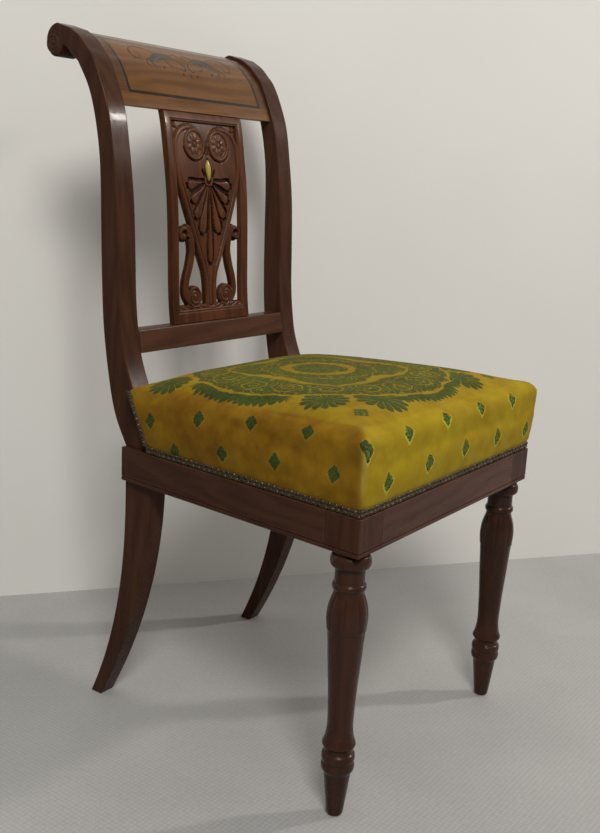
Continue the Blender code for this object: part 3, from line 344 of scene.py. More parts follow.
def grain_group():
    """Wood grain that runs along Z: broad figure, ribbon stripe and fine dark pores, all drawn out along the run."""
    tree, entry, out = open_group(
        "wood_grain", dict(Vector="Vector", Dark="Color", Light="Color", Figure="Float", Pores="Float"),
        dict(Colour="Color", Roughness="Float", Height="Float"))
    place = entry.outputs["Vector"]
    drawn, fine = (node(tree, "ShaderNodeMapping", Vector=place, Scale=(1.0, 1.0, along)).outputs[0]
                   for along in (0.10, 0.035))
    broad = noise(tree, drawn, 22.0, 5.0, Roughness=0.55, Distortion=0.6)
    ribbon = Field(tree, node(tree, "ShaderNodeTexWave", Vector=drawn, Scale=26.0, Distortion=9.0, Detail=3.0,
                              Detail_Scale=1.6, wave_type="BANDS", bands_direction="DIAGONAL").outputs["Fac"])
    streak = (noise(tree, fine, 760.0, 2.0) * -6.0 + 2.75).clamped() * Field(tree, entry.outputs["Pores"])
    cloud = noise(tree, place, 14.0, 3.0)
    figure = ((broad - 0.5) * 1.3 + (ribbon - 0.5) * 0.30) * Field(tree, entry.outputs["Figure"]) + 0.5
    share = (figure + (cloud - 0.5) * 0.35).clamped()
    toned = blend(tree, share, entry.outputs["Dark"], entry.outputs["Light"])
    fill(tree, out, Colour=blend(tree, streak * 0.38, toned, (0.010, 0.004, 0.002, 1.0)),
         Roughness=(cloud - 0.5) * 0.16 + streak * 0.10, Height=streak * -1.0 + broad * 0.25)
    return tree


def wear_and_highlight_group():
    """Lighter arrises, for rubbing by hands and dusters and as a painted highlight where edges catch light: near an
    arris the rounded normal leaves the true one, broken up by a noise.
    """
    tree, entry, out = open_group("rubbed_and_lit_arris", dict(Reach="Float", Amount="Float"), dict(Mask="Float"))
    rounded = node(tree, "ShaderNodeBevel", samples=4, Radius=entry.outputs["Reach"]).outputs[0]
    true = tree.nodes.new("ShaderNodeNewGeometry").outputs["Normal"]
    dot = node(tree, "ShaderNodeVectorMath", operation="DOT_PRODUCT")
    for value, place in zip((rounded, true), dot.inputs):
        feed(tree, value, place)
    patchy = noise(tree, object_place(tree), 55.0, 4.0)
    edge = (Field(tree, dot.outputs["Value"]) * -5.0 + 5.0).clamped()
    fill(tree, out, Mask=(edge * (patchy * 1.6 - 0.2) * Field(tree, entry.outputs["Amount"])).clamped())
    return tree


def hollow_shade_group():
    """Painted shade in the hollows: darker where little of the open space near a point is free."""
    tree, entry, out = open_group("painted_hollow_shade", dict(Reach="Float", Amount="Float"), dict(Mask="Float"))
    free = node(tree, "ShaderNodeAmbientOcclusion", samples=6, only_local=True, Distance=entry.outputs["Reach"])
    closed = (Field(tree, free.outputs["AO"]) * -1.6 + 1.5).clamped()
    fill(tree, out, Mask=closed * Field(tree, entry.outputs["Amount"]))
    return tree


def weave_group():
    """Plain weave in two directions: the higher of two crossed rows of threads, each over one and under one."""
    tree, entry, out = open_group("plain_weave", dict(Vector="Vector", Pitch="Float"),
                                  dict(Height="Float", Slub="Float"))
    place, pitch = entry.outputs["Vector"], Field(tree, entry.outputs["Pitch"])
    a, b = (value / pitch * math.pi for value in parts(tree, place)[:2])
    warp = abs(a.wave()) * (b.wave() * 0.5 + 0.5)
    weft = abs(b.wave()) * (a.wave() * -0.5 + 0.5)
    fill(tree, out, Height=warp.most(weft), Slub=noise(tree, place, 240.0, 3.0))
    return tree


GRAIN, WEAR_AND_HIGHLIGHT, HOLLOW_SHADE, WEAVE = grain_group(), wear_and_highlight_group(), hollow_shade_group(), weave_group()


def bumped(tree, shader, height, strength, distance):
    """Feeds a height into the shader's normal."""
    bump = node(tree, "ShaderNodeBump", Strength=strength, Distance=distance, Height=height)
    fill(tree, shader, Normal=bump.outputs[0])


def polished_wood(name, dark, light, rubbed_and_lit_colour, turn, figure=1.0, pores=1.0, coat=0.10, shine=0.16, shade_in_hollows=0.85):
    """French polished wood: grain under a thin coat, with painted shade that darkens the hollows and the carving's
    deepest grooves, and arrises made lighter both for wear and as a painted highlight.
    """
    material, tree, shader = open_finish(name)
    run = node(tree, "ShaderNodeMapping", Vector=object_place(tree), Rotation=turn).outputs[0]
    grain = use_group(tree, GRAIN, Vector=run, Dark=dark, Light=light, Figure=figure, Pores=pores)
    # painted highlight and wear: the arrises turn to the lighter colour
    wear_and_highlight = Field(tree, use_group(tree, WEAR_AND_HIGHLIGHT, Reach=0.0024, Amount=0.50).outputs[0])
    # painted shade: dark in the hollows, from how closed the space near a point is, and nearly black in the carving's
    # deepest grooves
    deep = Field(tree, use_group(tree, HOLLOW_SHADE, Reach=0.007, Amount=shade_in_hollows).outputs[0])
    painted_hollow_shade = (mark(tree, "carved_hollow") * 0.92).most(deep)
    # the nearly black colour of the painted shade
    shaded = blend(tree, painted_hollow_shade, grain.outputs["Colour"], (0.0045, 0.0022, 0.0016, 1.0))
    rough = Field(tree, grain.outputs["Roughness"]) + 0.25 + wear_and_highlight * 0.10 + painted_hollow_shade * 0.40
    fill(tree, shader, Base_Color=blend(tree, wear_and_highlight, shaded, rubbed_and_lit_colour), Roughness=rough, Coat_Weight=coat,
         Coat_Roughness=0.07, Specular_IOR_Level=shine)
    bumped(tree, shader, grain.outputs["Height"], 0.10, 0.0003)
    return material


UPRIGHT = (0.0, 0.0, 0.0)
ACROSS = (0.0, math.radians(90.0), 0.0)
ALONG = (math.radians(90.0), 0.0, 0.0)
MAHOGANY = ((0.0255, 0.0098, 0.0055, 1.0), (0.071, 0.0285, 0.0150, 1.0), (0.140, 0.063, 0.035, 1.0))
# a lighter, redder copy of MAHOGANY for the rails that run across: the redder tone is the wood's, the extra lightness
# is painted light on the front rail's face
FRONT_LIT_MAHOGANY = ((0.037, 0.0132, 0.0074, 1.0), (0.094, 0.0365, 0.0190, 1.0), (0.160, 0.072, 0.040, 1.0))
CARVED_MAHOGANY = ((0.036, 0.0112, 0.0046, 1.0), (0.110, 0.0375, 0.0140, 1.0), (0.185, 0.078, 0.036, 1.0))
DARK_MAHOGANY = ((0.021, 0.0080, 0.0043, 1.0), (0.055, 0.0212, 0.0105, 1.0), (0.110, 0.050, 0.028, 1.0))

mahogany_upright = polished_wood("mahogany_upright", *MAHOGANY, turn=UPRIGHT, coat=0.028, shine=0.085)
mahogany_across_lit = polished_wood("mahogany_across_lit", *FRONT_LIT_MAHOGANY, turn=ACROSS, coat=0.05, shine=0.13)
mahogany_along = polished_wood("mahogany_along", *MAHOGANY, turn=ALONG, coat=0.03, shine=0.12)
mahogany_carved = polished_wood("mahogany_carved", *CARVED_MAHOGANY, turn=UPRIGHT, coat=0.02, shine=0.08)
mahogany_turned = polished_wood("mahogany_turned", *DARK_MAHOGANY, turn=UPRIGHT)
crest_veneer = polished_wood("crest_veneer", (0.066, 0.024, 0.0050, 1.0), (0.162, 0.067, 0.0142, 1.0),
                             (0.21, 0.105, 0.04, 1.0), turn=ACROSS, figure=1.15, pores=0.6, shade_in_hollows=0.5)
# the crest's wood made darker between each side string and the stile
darker_margin = polished_wood("darker_margin", (0.045, 0.0165, 0.0055, 1.0), (0.100, 0.0400, 0.0135, 1.0),
                             (0.16, 0.075, 0.035, 1.0), turn=ACROSS, shade_in_hollows=0.4)
ebony_inlay = polished_wood("ebony_inlay", (0.008, 0.0045, 0.003, 1.0), (0.020, 0.0110, 0.0060, 1.0),
                            (0.02, 0.015, 0.012, 1.0), turn=ACROSS, shade_in_hollows=0.0)
stained_inlay = polished_wood("stained_inlay", (0.022, 0.019, 0.017, 1.0), (0.050, 0.044, 0.038, 1.0),
                              (0.06, 0.055, 0.05, 1.0), turn=ACROSS, shade_in_hollows=0.0)
boxwood = polished_wood("boxwood", (0.200, 0.140, 0.026, 1.0), (0.340, 0.255, 0.055, 1.0),
                        (0.42, 0.34, 0.12, 1.0), turn=UPRIGHT, pores=0.4, shade_in_hollows=0.6)
peg_oak = polished_wood("peg_oak", (0.085, 0.040, 0.025, 1.0), (0.160, 0.085, 0.055, 1.0),
                        (0.18, 0.09, 0.05, 1.0), turn=ACROSS, shade_in_hollows=0.4)


# ---- shapes


def run_along(line):
    """The length along a line at each of its points."""
    return np.concatenate([[0.0], np.cumsum(np.linalg.norm(np.diff(line, axis=0), axis=1))])


def smooth_line(points, count):
    """A line through points: chord-length spacing, each span a cubic whose end slopes follow its neighbours,
    measured off again in even steps."""
    p = np.asarray(points, float)
    chord = run_along(p)
    ends = np.vstack([2 * p[0] - p[1], p, 2 * p[-1] - p[-2]])
    knots = np.concatenate([[-chord[1]], chord, [2 * chord[-1] - chord[-2]]])
    slope = (ends[2:] - ends[:-2]) / (knots[2:] - knots[:-2])[:, None]
    place = np.linspace(0.0, chord[-1], 12 * count)
    i = np.clip(np.searchsorted(chord, place, side="right") - 1, 0, len(p) - 2)
    span = (chord[i + 1] - chord[i])[:, None]
    t = (place - chord[i])[:, None] / span
    line = ((2 * t**3 - 3 * t**2 + 1) * p[i] + (t**3 - 2 * t**2 + t) * span * slope[i]
            + (3 * t**2 - 2 * t**3) * p[i + 1] + (t**3 - t**2) * span * slope[i + 1])
    return even_steps(line, count)


def even_steps(line, count):
    """A polyline measured off in even steps along its length."""
    run = run_along(line)
    marks = np.linspace(0.0, run[-1], count)
    return np.column_stack([np.interp(marks, run, line[:, k]) for k in range(line.shape[1])])


def leftward(line):
    """Directions square to a line's own run, to its left."""
    run = np.gradient(line, axis=0)
    run /= np.linalg.norm(run, axis=1)[:, None]
    return np.column_stack([-run[:, 1], run[:, 0]])


def moved_aside(line, distance):
    return line + distance * leftward(line)


def grid_quads(rows, columns, close_rows=False, close_columns=False):
    """Faces of a grid of points, numbered row by row."""
    r = np.arange(rows if close_rows else rows - 1)
    c = np.arange(columns if close_columns else columns - 1)
    a, b = np.meshgrid(r, c, indexing="ij")
    a1, b1 = (a + 1) % rows, (b + 1) % columns
    return np.stack([a * columns + b, a * columns + b1, a1 * columns + b1, a1 * columns + b], -1).reshape(-1, 4)


def tube_faces(rows, columns):
    """Faces of a tube made of closed rings, with both ends capped."""
    faces = grid_quads(rows, columns, close_columns=True).tolist()
    return faces + [list(range(columns))[::-1], list(range((rows - 1) * columns, rows * columns))]


def add_piece(name, points, faces, finish, slot, replaces=(), sharp=35.0, even=False):
    """A piece from points (across, back, up) and faces: doubles merged, faces turned outward, shaded smooth."""
    placed = np.asarray(points, float).reshape(-1, 3) + [0.0, FRONT_FACE, 0.0]
    mesh = bpy.data.meshes.new(name)
    mesh.from_pydata(placed.tolist(), [], [list(face) for face in faces])
    shape = bmesh.new()
    shape.from_mesh(mesh)
    bmesh.ops.remove_doubles(shape, verts=shape.verts[:], dist=1e-6)
    bmesh.ops.recalc_face_normals(shape, faces=shape.faces[:])
    shape.to_mesh(mesh)
    shape.free()
    mesh.shade_smooth()
    mesh.set_sharp_from_angle(angle=math.radians(sharp))
    mesh.materials.append(finish)
    piece = bpy.data.objects.new(name, mesh)
    bpy.context.scene.collection.objects.link(piece)
    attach(piece, "root")
    if replaces:
        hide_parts(*replaces)
    if even:
        piece.modifiers.new("even_shading", "WEIGHTED_NORMAL").keep_sharp = True
    return piece


def add_pair(name, points, faces, finish, slot, stands_for="", **more):
    """A piece of the right side and its mirror image."""
    for hand, side in SIDES:
        add_piece(name + hand, points * [side, 1.0, 1.0], faces, finish, slot,
                  replaces=(stands_for + hand,) if stands_for else (), **more)


def write_mark(mesh, name, values):
    """Writes a value, or three, into each of a mesh's points, where a finish can read it."""
    values = np.asarray(values, np.float32)
    kind, entry = ("FLOAT_VECTOR", "vector") if values.ndim == 2 else ("FLOAT", "value")
    mesh.attributes.new(name, kind, "POINT").data.foreach_set(entry, values.ravel())


def together(*shapes):
    """Several (points, faces) shapes as one."""
    points, faces, count = [], [], 0
    for part_points, part_faces in shapes:
        points.append(np.asarray(part_points, float).reshape(-1, 3))
        faces += [[i + count for i in face] for face in part_faces]
        count += len(points[-1])
    return np.concatenate(points), faces


def inward(section):
    """Directions into a closed outline that runs anticlockwise: the mean of two edges', longer at a corner."""
    ahead = np.roll(section, -1, axis=0) - section
    ahead /= np.linalg.norm(ahead, axis=1)[:, None]
    left = np.column_stack([-ahead[:, 1], ahead[:, 0]])
    both = left + np.roll(left, 1, axis=0)
    return both / np.clip((both**2).sum(axis=1) / 2, 0.6, None)[:, None]


def anticlockwise(section):
    section = np.asarray(section, float)
    after = np.roll(section, -1, axis=0)
    area = np.sum(section[:, 0] * after[:, 1] - after[:, 0] * section[:, 1])
    return section if area > 0 else section[::-1]


def eased(corners, radius, steps=3):
    """An outline with each corner rounded: from a radius before it to a radius after it along a parabola."""
    p = anticlockwise(corners)
    before, after = np.roll(p, 1, axis=0) - p, np.roll(p, -1, axis=0) - p
    reach_b, reach_a = (np.linalg.norm(v, axis=1)[:, None] for v in (before, after))
    radius = np.broadcast_to(radius, len(p))[:, None]
    start = p + before / reach_b * np.minimum(radius, 0.45 * reach_b)
    end = p + after / reach_a * np.minimum(radius, 0.45 * reach_a)
    t = np.linspace(0.0, 1.0, steps + 1)[None, :, None]
    round_off = (1 - t)**2 * start[:, None] + 2 * t * (1 - t) * p[:, None] + t**2 * end[:, None]
    return round_off.reshape(-1, 2)


def loft(section, insets, heights):
    """A section carried along a straight run: at each height it is drawn in by its inset; both ends closed."""
    section = anticlockwise(section)
    rows = section[None] + np.asarray(insets)[:, None, None] * inward(section)[None]
    up = np.broadcast_to(np.asarray(heights, float)[:, None, None], rows.shape[:2] + (1,))
    return np.concatenate([rows, up], axis=2).reshape(-1, 3), tube_faces(len(heights), len(section))


def end_rounding(low, high, arris, steps=4):
    """Insets and heights of a run whose two end arrises are rounded on a quarter circle."""
    turn = np.linspace(0.0, math.pi / 2, steps + 1)
    inset, rise = arris * (1 - np.sin(turn)), arris * (1 - np.cos(turn))
    return np.concatenate([inset, inset[::-1]]), np.concatenate([low + rise, high - rise[::-1]])


def bar(section, low, high, arris):
    """A section carried along a run with rounded ends."""
    return loft(section, *end_rounding(low, high, arris))


def cross_rail(name, section, reach, arris, finish, slot, stands_for, **more):
    """A rail across the chair: its section (back, up) carried from one side to the other."""
    points, faces = bar(section, -reach, reach, arris)
    add_piece(name, points[:, [2, 0, 1]], faces, finish, slot, replaces=(stands_for,), even=True, **more)


def side_face(y):
    """Half the seat's width at a depth: the side rails' outer face."""
    return FRONT_HALF - SPLAY * y


STILE_FRONT = smooth_line(np.array(STILE_FRONT_LINE + STILE_OVER_LINE) + [SEAT_DEPTH, RAIL_TOP], 150)
STILE_REAR = smooth_line(np.array(STILE_REAR_LINE) + [SEAT_END, RAIL_TOP], 120)


def back_face(height):
    """How far back the stiles' front faces lie at a height."""
    return np.interp(height, STILE_FRONT[:, 1], STILE_FRONT[:, 0])


def scroll_arc(radius, steps=40):
    """The round of a scroll, from its top over the rear to its underside."""
    turn = np.radians(np.linspace(90.0, -90.0, steps))
    return np.array(SCROLL_CENTRE) + radius * np.column_stack([np.cos(turn), np.sin(turn)])


def make_stiles():
    """Rear leg, stile and scroll: the side view's outline carried across the timber, tapered at the foot.
    Below the rail each face sweeps back by reach (1 - height)^curve."""
    share = np.linspace(0.0, 1.0, 60)
    leg_front, leg_rear = (np.column_stack([start + reach * (1 - share)**curve, RAIL_BOTTOM * share])
                           for start, (reach, curve) in ((SEAT_DEPTH, FOOT_FRONT), (SEAT_END, FOOT_REAR)))
    round_end = scroll_arc(SCROLL_RADIUS)[1:]
    round_end = round_end[(round_end[:, 0] > SCROLL_EYE[0] + 0.0024) | (round_end[:, 1] > SCROLL_CENTRE[1])]
    outline = np.vstack([leg_front, STILE_FRONT, round_end, smooth_line(SCROLL_HOLLOW, 44),
                         STILE_REAR[::-1], leg_rear[::-1]])
    points, faces = loft(outline, *end_rounding(STILE_INNER, STILE_OUTER, STILE_ARRIS))
    y, z, x = points.T
    place = (x - STILE_INNER) / (STILE_OUTER - STILE_INNER)
    taper = np.clip(1 - z / RAIL_BOTTOM, 0.0, None)
    x = x + taper * (FOOT_TAPER[0] * (1 - place) - FOOT_TAPER[1] * place)
    add_pair("carved_stile_", np.column_stack([x, y, z]), faces, mahogany_upright, "mahogany",
             stands_for="stile_", sharp=50.0, even=True)


def make_scroll_carving():
    """The spiral on each scroll's outer side: a half-round bead on a spiral that narrows from the rim to the eye,
    and a domed eye."""
    sunk = 0.0004
    t = np.linspace(0.0, 1.0, 160)
    turn = math.radians(200.0) + t * 2 * math.pi * 1.75
    radius = 0.0128 * (1 - t) + 0.0042 * t
    half = (0.0016 * (1 - t) + 0.0011 * t)[:, None]
    around = np.linspace(0.0, math.pi, 9)[None]
    reach = radius[:, None] + half * np.cos(around)
    bead = np.stack([STILE_OUTER + half * np.sin(around) * 0.85 - sunk,
                     SCROLL_EYE[0] + reach * np.cos(turn)[:, None],
                     SCROLL_EYE[1] + reach * np.sin(turn)[:, None]], -1)
    eye_turn = np.linspace(0.0, 2 * math.pi, 28, endpoint=False)[None]
    eye_rise = np.linspace(0.0, math.pi / 2, 7)[:, None]
    eye_reach = 0.0030 * np.cos(eye_rise)
    eye = np.stack([STILE_OUTER - sunk + 0.0017 * np.sin(eye_rise) + 0 * eye_turn,
                    SCROLL_EYE[0] + eye_reach * np.cos(eye_turn), SCROLL_EYE[1] + eye_reach * np.sin(eye_turn)], -1)
    eye_faces = grid_quads(*eye.shape[:2], close_columns=True).tolist() + [list(range(28))]
    points, faces = together((bead, tube_faces(*bead.shape[:2])), (eye, eye_faces))
    add_pair("scroll_spiral_", points, faces, mahogany_upright, "mahogany", sharp=60.0)


def above_crest_bottom(line):
    """The part of a line (back, up) that lies above the crest's lower edge, with a point on that edge."""
    start = [np.interp(CREST_BOTTOM, line[:, 1], line[:, 0]), CREST_BOTTOM]
    return np.vstack([start, line[line[:, 1] > CREST_BOTTOM + JOINT]])


CREST_ROLL = scroll_arc(SCROLL_RADIUS - CREST_SETBACK)
CREST_FACE = above_crest_bottom(moved_aside(STILE_FRONT, -CREST_SETBACK))
CREST_FACE = even_steps(np.vstack([CREST_FACE, CREST_ROLL[:20]]), 120)
CREST_RUN = run_along(CREST_FACE)


def on_crest(x, up, lift):
    """Points on the crest's face: across, up along the curved face from its lower edge, and lifted off it."""
    unit = 0.001
    base, over = (np.stack([np.interp(up, CREST_RUN, moved_aside(CREST_FACE, aside)[:, k]) for k in (0, 1)], -1)
                  for aside in (0.0, unit))
    placed = base + (over - base) * (np.asarray(lift) / unit)[..., None]
    return np.concatenate([np.asarray(x)[..., None], placed], axis=-1)


def make_crest():
    """The crest rail: the stiles' own line drawn in all round, its lower arris eased, carried from stile to stile."""
    ease = 0.0009
    rear = above_crest_bottom(moved_aside(STILE_REAR, CREST_SETBACK))
    face = CREST_FACE + np.array([0.0, ease]) * (CREST_RUN < 1e-9)[:, None]
    outline = np.vstack([CREST_FACE[0] + [ease, 0.0], face, CREST_ROLL[20:], rear[::-1]])
    cross_rail("veneered_crest", outline, STILE_INNER - JOINT, 0.0004, crest_veneer, "crest_veneer", "crest_rail",
               sharp=50.0)


def inlay_band(path, half, lift=0.00012, sink=0.0008):
    """A flat inlay on the crest along a path (across, up): its two edges a half width to each side."""
    off = leftward(path) * np.broadcast_to(np.asarray(half, float), (len(path),))[:, None]
    left, right = path + off, path - off
    edges = np.stack([left, left, right, right], 1)
    lifts = np.broadcast_to(np.array([-sink, lift, lift, -sink]), edges.shape[:2])
    return on_crest(edges[..., 0], edges[..., 1], lifts), tube_faces(len(path), 4)


def make_strings():
    """Dark strings that frame the crest's panel, one along its foot and one up each side, and a darker strip between
    each side string and the stile."""
    half = STRING_WIDTH / 2
    out = STILE_INNER - STRING_MARGIN - half
    foot = STRING_MARGIN + half
    top = CREST_RUN[-1] - STRING_MARGIN / 2
    runs = {"lower": [(-out - half, foot), (out + half, foot)],
            "left": [(-out, foot), (-out, top)], "right": [(out, foot), (out, top)]}
    for name, ends in runs.items():
        add_piece("ebony_string_" + name, *inlay_band(even_steps(np.array(ends), 80), half), ebony_inlay,
                  "ebony_string", replaces=("crest_string_" + name,))
    for name, side in SIDES:
        path = np.array([(side * (out + half + STRING_MARGIN / 2), rise)
                         for rise in (STRING_MARGIN, CREST_RUN[-1] - STRING_MARGIN / 4)])
        veneer = inlay_band(even_steps(path, 80), STRING_MARGIN / 2 - 0.0002, lift=0.00006)
        add_piece("crossbanding_" + name, *veneer, darker_margin, "mahogany")


def make_marquetry():
    """The crest's arabesque: mirrored leaf scrolls and tendrils, each a band that swells and thins along its run."""
    def swelling(points, widest, count=70, root=0.15):
        t = np.linspace(0.0, 1.0, count)
        return smooth_line(points, count), widest / 2 * (root + (1 - root) * np.sin(math.pi * t)**1.3)

    leaves = [  # points on the right half of the panel, and the width at the widest
        ([(0.013, 0.0830), (0.024, 0.0880), (0.038, 0.0875), (0.050, 0.0800), (0.0565, 0.0700), (0.0540, 0.0620),
          (0.0485, 0.0630)], 0.0078),
        ([(0.016, 0.0800), (0.028, 0.0815), (0.040, 0.0785), (0.048, 0.0720)], 0.0052),
    ]
    tendrils = [
        ([(0.042, 0.0870), (0.053, 0.0950), (0.066, 0.0985), (0.079, 0.0945), (0.085, 0.0840), (0.081, 0.0745),
          (0.0725, 0.0745), (0.0705, 0.0820), (0.0760, 0.0865)], 0.0013),
        ([(0.013, 0.0830), (0.0070, 0.0780), (0.0035, 0.0700), (0.0060, 0.0625), (0.0110, 0.0630),
          (0.0115, 0.0680)], 0.0014),
        ([(0.020, 0.0865), (0.0130, 0.0925), (0.0060, 0.0925), (0.0045, 0.0870), (0.0085, 0.0850)], 0.0012),
        ([(0.0520, 0.0790), (0.0620, 0.0745), (0.0660, 0.0660), (0.0620, 0.0600)], 0.0012),
        ([(0.0300, 0.0795), (0.0290, 0.0720), (0.0235, 0.0670), (0.0185, 0.0690)], 0.0012),
    ]
    turn = np.linspace(0.0, 2 * math.pi, 25)
    dots = [((0.0140, 0.0560), 0.0017), ((0.0485, 0.0632), 0.0020)]
    shapes = {"leaf": [], "tendril": []}
    for mirror in np.array([(1.0, 1.0), (-1.0, 1.0)]):
        for key, strokes in (("leaf", leaves), ("tendril", tendrils)):
            for points, widest in strokes:
                path, half = swelling(np.array(points) * mirror * [1.18, 1.0], widest)
                shapes[key].append(inlay_band(path, half, lift=0.00014 if key == "leaf" else 0.00018))
        for centre, radius in dots:
            ring = np.array(centre) * mirror + 0.5 * radius * np.column_stack([np.cos(turn), np.sin(turn)])
            shapes["tendril"].append(inlay_band(ring, 0.5 * radius, lift=0.00020))
    for key, rises, widest in (("leaf", (0.0700, 0.0790, 0.0900), 0.0030),
                               ("tendril", (0.0500, 0.0550, 0.0600), 0.0016)):
        shapes[key].append(inlay_band(*swelling([(0.0, rise) for rise in rises], widest)))
    add_piece("arabesque_leaves", *together(*shapes["leaf"]), stained_inlay, "ebony_string")
    add_piece("arabesque_tendrils", *together(*shapes["tendril"]), ebony_inlay, "ebony_string")


def make_lower_rail():
    """The lower back rail, leaning as the stiles do there."""
    heights = np.array([LOWER_RAIL_TOP - LOWER_RAIL_HEIGHT, LOWER_RAIL_TOP])
    front = np.column_stack([back_face(heights), heights])
    section = eased(np.vstack([front, front[::-1] + [LOWER_RAIL_DEPTH, 0.0]]), 0.0018)
    cross_rail("dressed_lower_rail", section, STILE_INNER - JOINT, 0.0003, mahogany_across_lit, "mahogany",
               "lower_back_rail")


# ---- splat


def on_splat(x, rise, depth):
    """Points of the splat: it is bent back as the stiles are."""
    z = LOWER_RAIL_TOP + rise
    return np.stack([x, back_face(z) + SPLAT_SETBACK + depth, z], -1)


def make_splat_frame():
    """The splat's border: a moulded section carried round the panel, mitred at the corners."""
    def corners(half, low, high):
        return np.array([(-half, low), (half, low), (half, high), (-half, high)])

    side, top, foot = SPLAT_BARS
    inner = corners(SPLAT_HALF - side, foot, SPLAT_HEIGHT - top)
    outer = corners(SPLAT_HALF, JOINT, SPLAT_HEIGHT - JOINT)
    t = np.concatenate([k + np.linspace(0.0, 1.0, 48, endpoint=False) for k in range(4)])
    i, j, share = t.astype(int), (t.astype(int) + 1) % 4, (t % 1.0)[:, None]
    near, far = (p[i] * (1 - share) + p[j] * share for p in (inner, outer))
    section = np.array([  # share of the way out from the panel, and depth below the face
        (0.00, 0.0080), (0.00, 0.0016), (0.03, 0.0009), (0.09, 0.0005), (0.15, 0.0007), (0.19, 0.0010), (0.23, 0.0004),
        (0.29, 0.0), (0.90, 0.0), (0.97, 0.0004), (1.0, 0.0012), (1.0, 0.0092), (0.95, 0.0100), (0.05, 0.0100)])
    flat = near[:, None] + (far - near)[:, None] * section[None, :, :1]
    depth = np.broadcast_to(section[None, :, 1], flat.shape[:2])
    faces = grid_quads(*flat.shape[:2], close_rows=True, close_columns=True).tolist()
    add_piece("splat_border", on_splat(flat[..., 0], flat[..., 1], depth), faces, mahogany_carved, "mahogany",
              sharp=28.0, even=True)


def line_distance(x, z, line):
    """How far each place is from a line of straight runs, and how far along the line its nearest point is."""
    nearest, along, before = np.full(x.shape, 1e9), np.zeros(x.shape), 0.0
    for (x0, z0), (x1, z1) in zip(line[:-1], line[1:]):
        length = math.hypot(x1 - x0, z1 - z0)
        t = np.clip(((x - x0) * (x1 - x0) + (z - z0) * (z1 - z0)) / max(length**2, 1e-18), 0.0, 1.0)
        distance = np.hypot(x - x0 - t * (x1 - x0), z - z0 - t * (z1 - z0))
        along = np.where(distance < nearest, before + t * length, along)
        nearest = np.minimum(nearest, distance)
        before += length
    return nearest, along


def outline_distance(x, z, outline):
    """Distance from a closed outline, negative inside, where a ray to one side crosses it an odd count of times."""
    closed = np.vstack([outline, outline[:1]])
    distance, _ = line_distance(x, z, closed)
    inside = np.zeros(x.shape, bool)
    for (x0, z0), (x1, z1) in zip(closed[:-1], closed[1:]):
        if z0 != z1:
            inside ^= ((z0 > z) != (z1 > z)) & (x < x0 + (z - z0) * (x1 - x0) / (z1 - z0))
    return np.where(inside, -distance, distance)


def box_distance(x, z, low, high):
    """Distance from a squared panel (x, z), negative inside."""
    a = np.maximum(low[0] - x, x - high[0])
    b = np.maximum(low[1] - z, z - high[1])
    return np.where((a > 0) & (b > 0), np.hypot(a, b), np.maximum(a, b))


def rolled(share):
    """The fall of a rounded moulding from its crest (0) to its edge (1)."""
    return 1.0 - np.sqrt(np.clip(1.0 - np.clip(share, 0.0, 1.0)**2, 0.0, 1.0))


def volute_relief(x, z, volute, pitch, hand):
    """Carved depth of a volute: a rounded spiral band, its groove where distance / pitch meets the turn, and an eye."""
    cx, cz, radius = volute
    reach, turn = np.hypot(x - cx, z - cz), np.arctan2(z - cz, x - cx)
    phase = (reach / pitch - hand * turn / (2 * math.pi) + 0.30) % 1.0
    band = 0.0012 + 0.0021 * rolled(np.abs(phase - 0.5) / 0.5)
    eye = 0.0008 + 0.0016 * rolled(reach / (0.26 * radius))
    return reach - radius, np.where(reach < 0.26 * radius, eye, band)


def crook_relief(x, z, volute):
    """Carved depth of a crook: a rounded band that turns over the top and down outside, and a ball at its end."""
    cx, cz, radius = volute
    reach, turn = np.hypot(x - cx, z - cz), np.arctan2(z - cz, x - cx)
    depth = np.where((turn > -2.6) & (turn < -1.0), CUT_DEPTH,
                     0.0010 + 0.0030 * rolled(np.abs(reach - 0.72 * radius) / (0.28 * radius)))
    depth = np.where(reach < 0.44 * radius, CUT_DEPTH, depth)
    ball = np.hypot(x - cx - 0.10 * radius, z - cz + 0.30 * radius) / (0.44 * radius)
    return reach - radius, np.where(ball < 1.0, 0.0008 + 0.0026 * rolled(ball), depth)


def palmette_leaves(side, z):
    """Each leaf of the palmette, its spear last: distance off its middle, half width, and share of its length."""
    leaves = [(math.radians(angle), length, LEAF_WIDTH) for angle, length in PALMETTE_LEAVES]
    shapes = []
    for angle, length, width in leaves + [(math.pi, SPEAR_LENGTH, SPEAR_WIDTH)]:
        out = side * math.sin(angle) + (z - PALMETTE_RISE) * math.cos(angle)
        off = side * math.cos(angle) - (z - PALMETTE_RISE) * math.sin(angle)
        place = (out - LEAF_START) / (length - LEAF_START)
        half = np.interp(place, LEAF_ALONG, LEAF_ACROSS, left=0.0, right=0.0) * width
        shapes.append((np.abs(off), half, place, out - length))
    return shapes


def rosette_relief(reach, turn):
    """A rosette: eight rounded petals on a dished ground about a button."""
    swing = ((turn * 8 / (2 * math.pi)) % 1.0 - 0.5) * 2 * math.pi / 8
    petal = np.hypot((reach * np.cos(swing) - 0.0094) / 0.0054, reach * np.sin(swing) / 0.0034)
    depth = np.where(petal < 1.0, 0.0013 + 0.0005 * rolled(petal), 0.0019)
    depth = np.where(reach < 0.0048, 0.0023, depth)
    return np.where(reach < 0.0036, 0.0008 + 0.0016 * rolled(reach / 0.0038), depth)


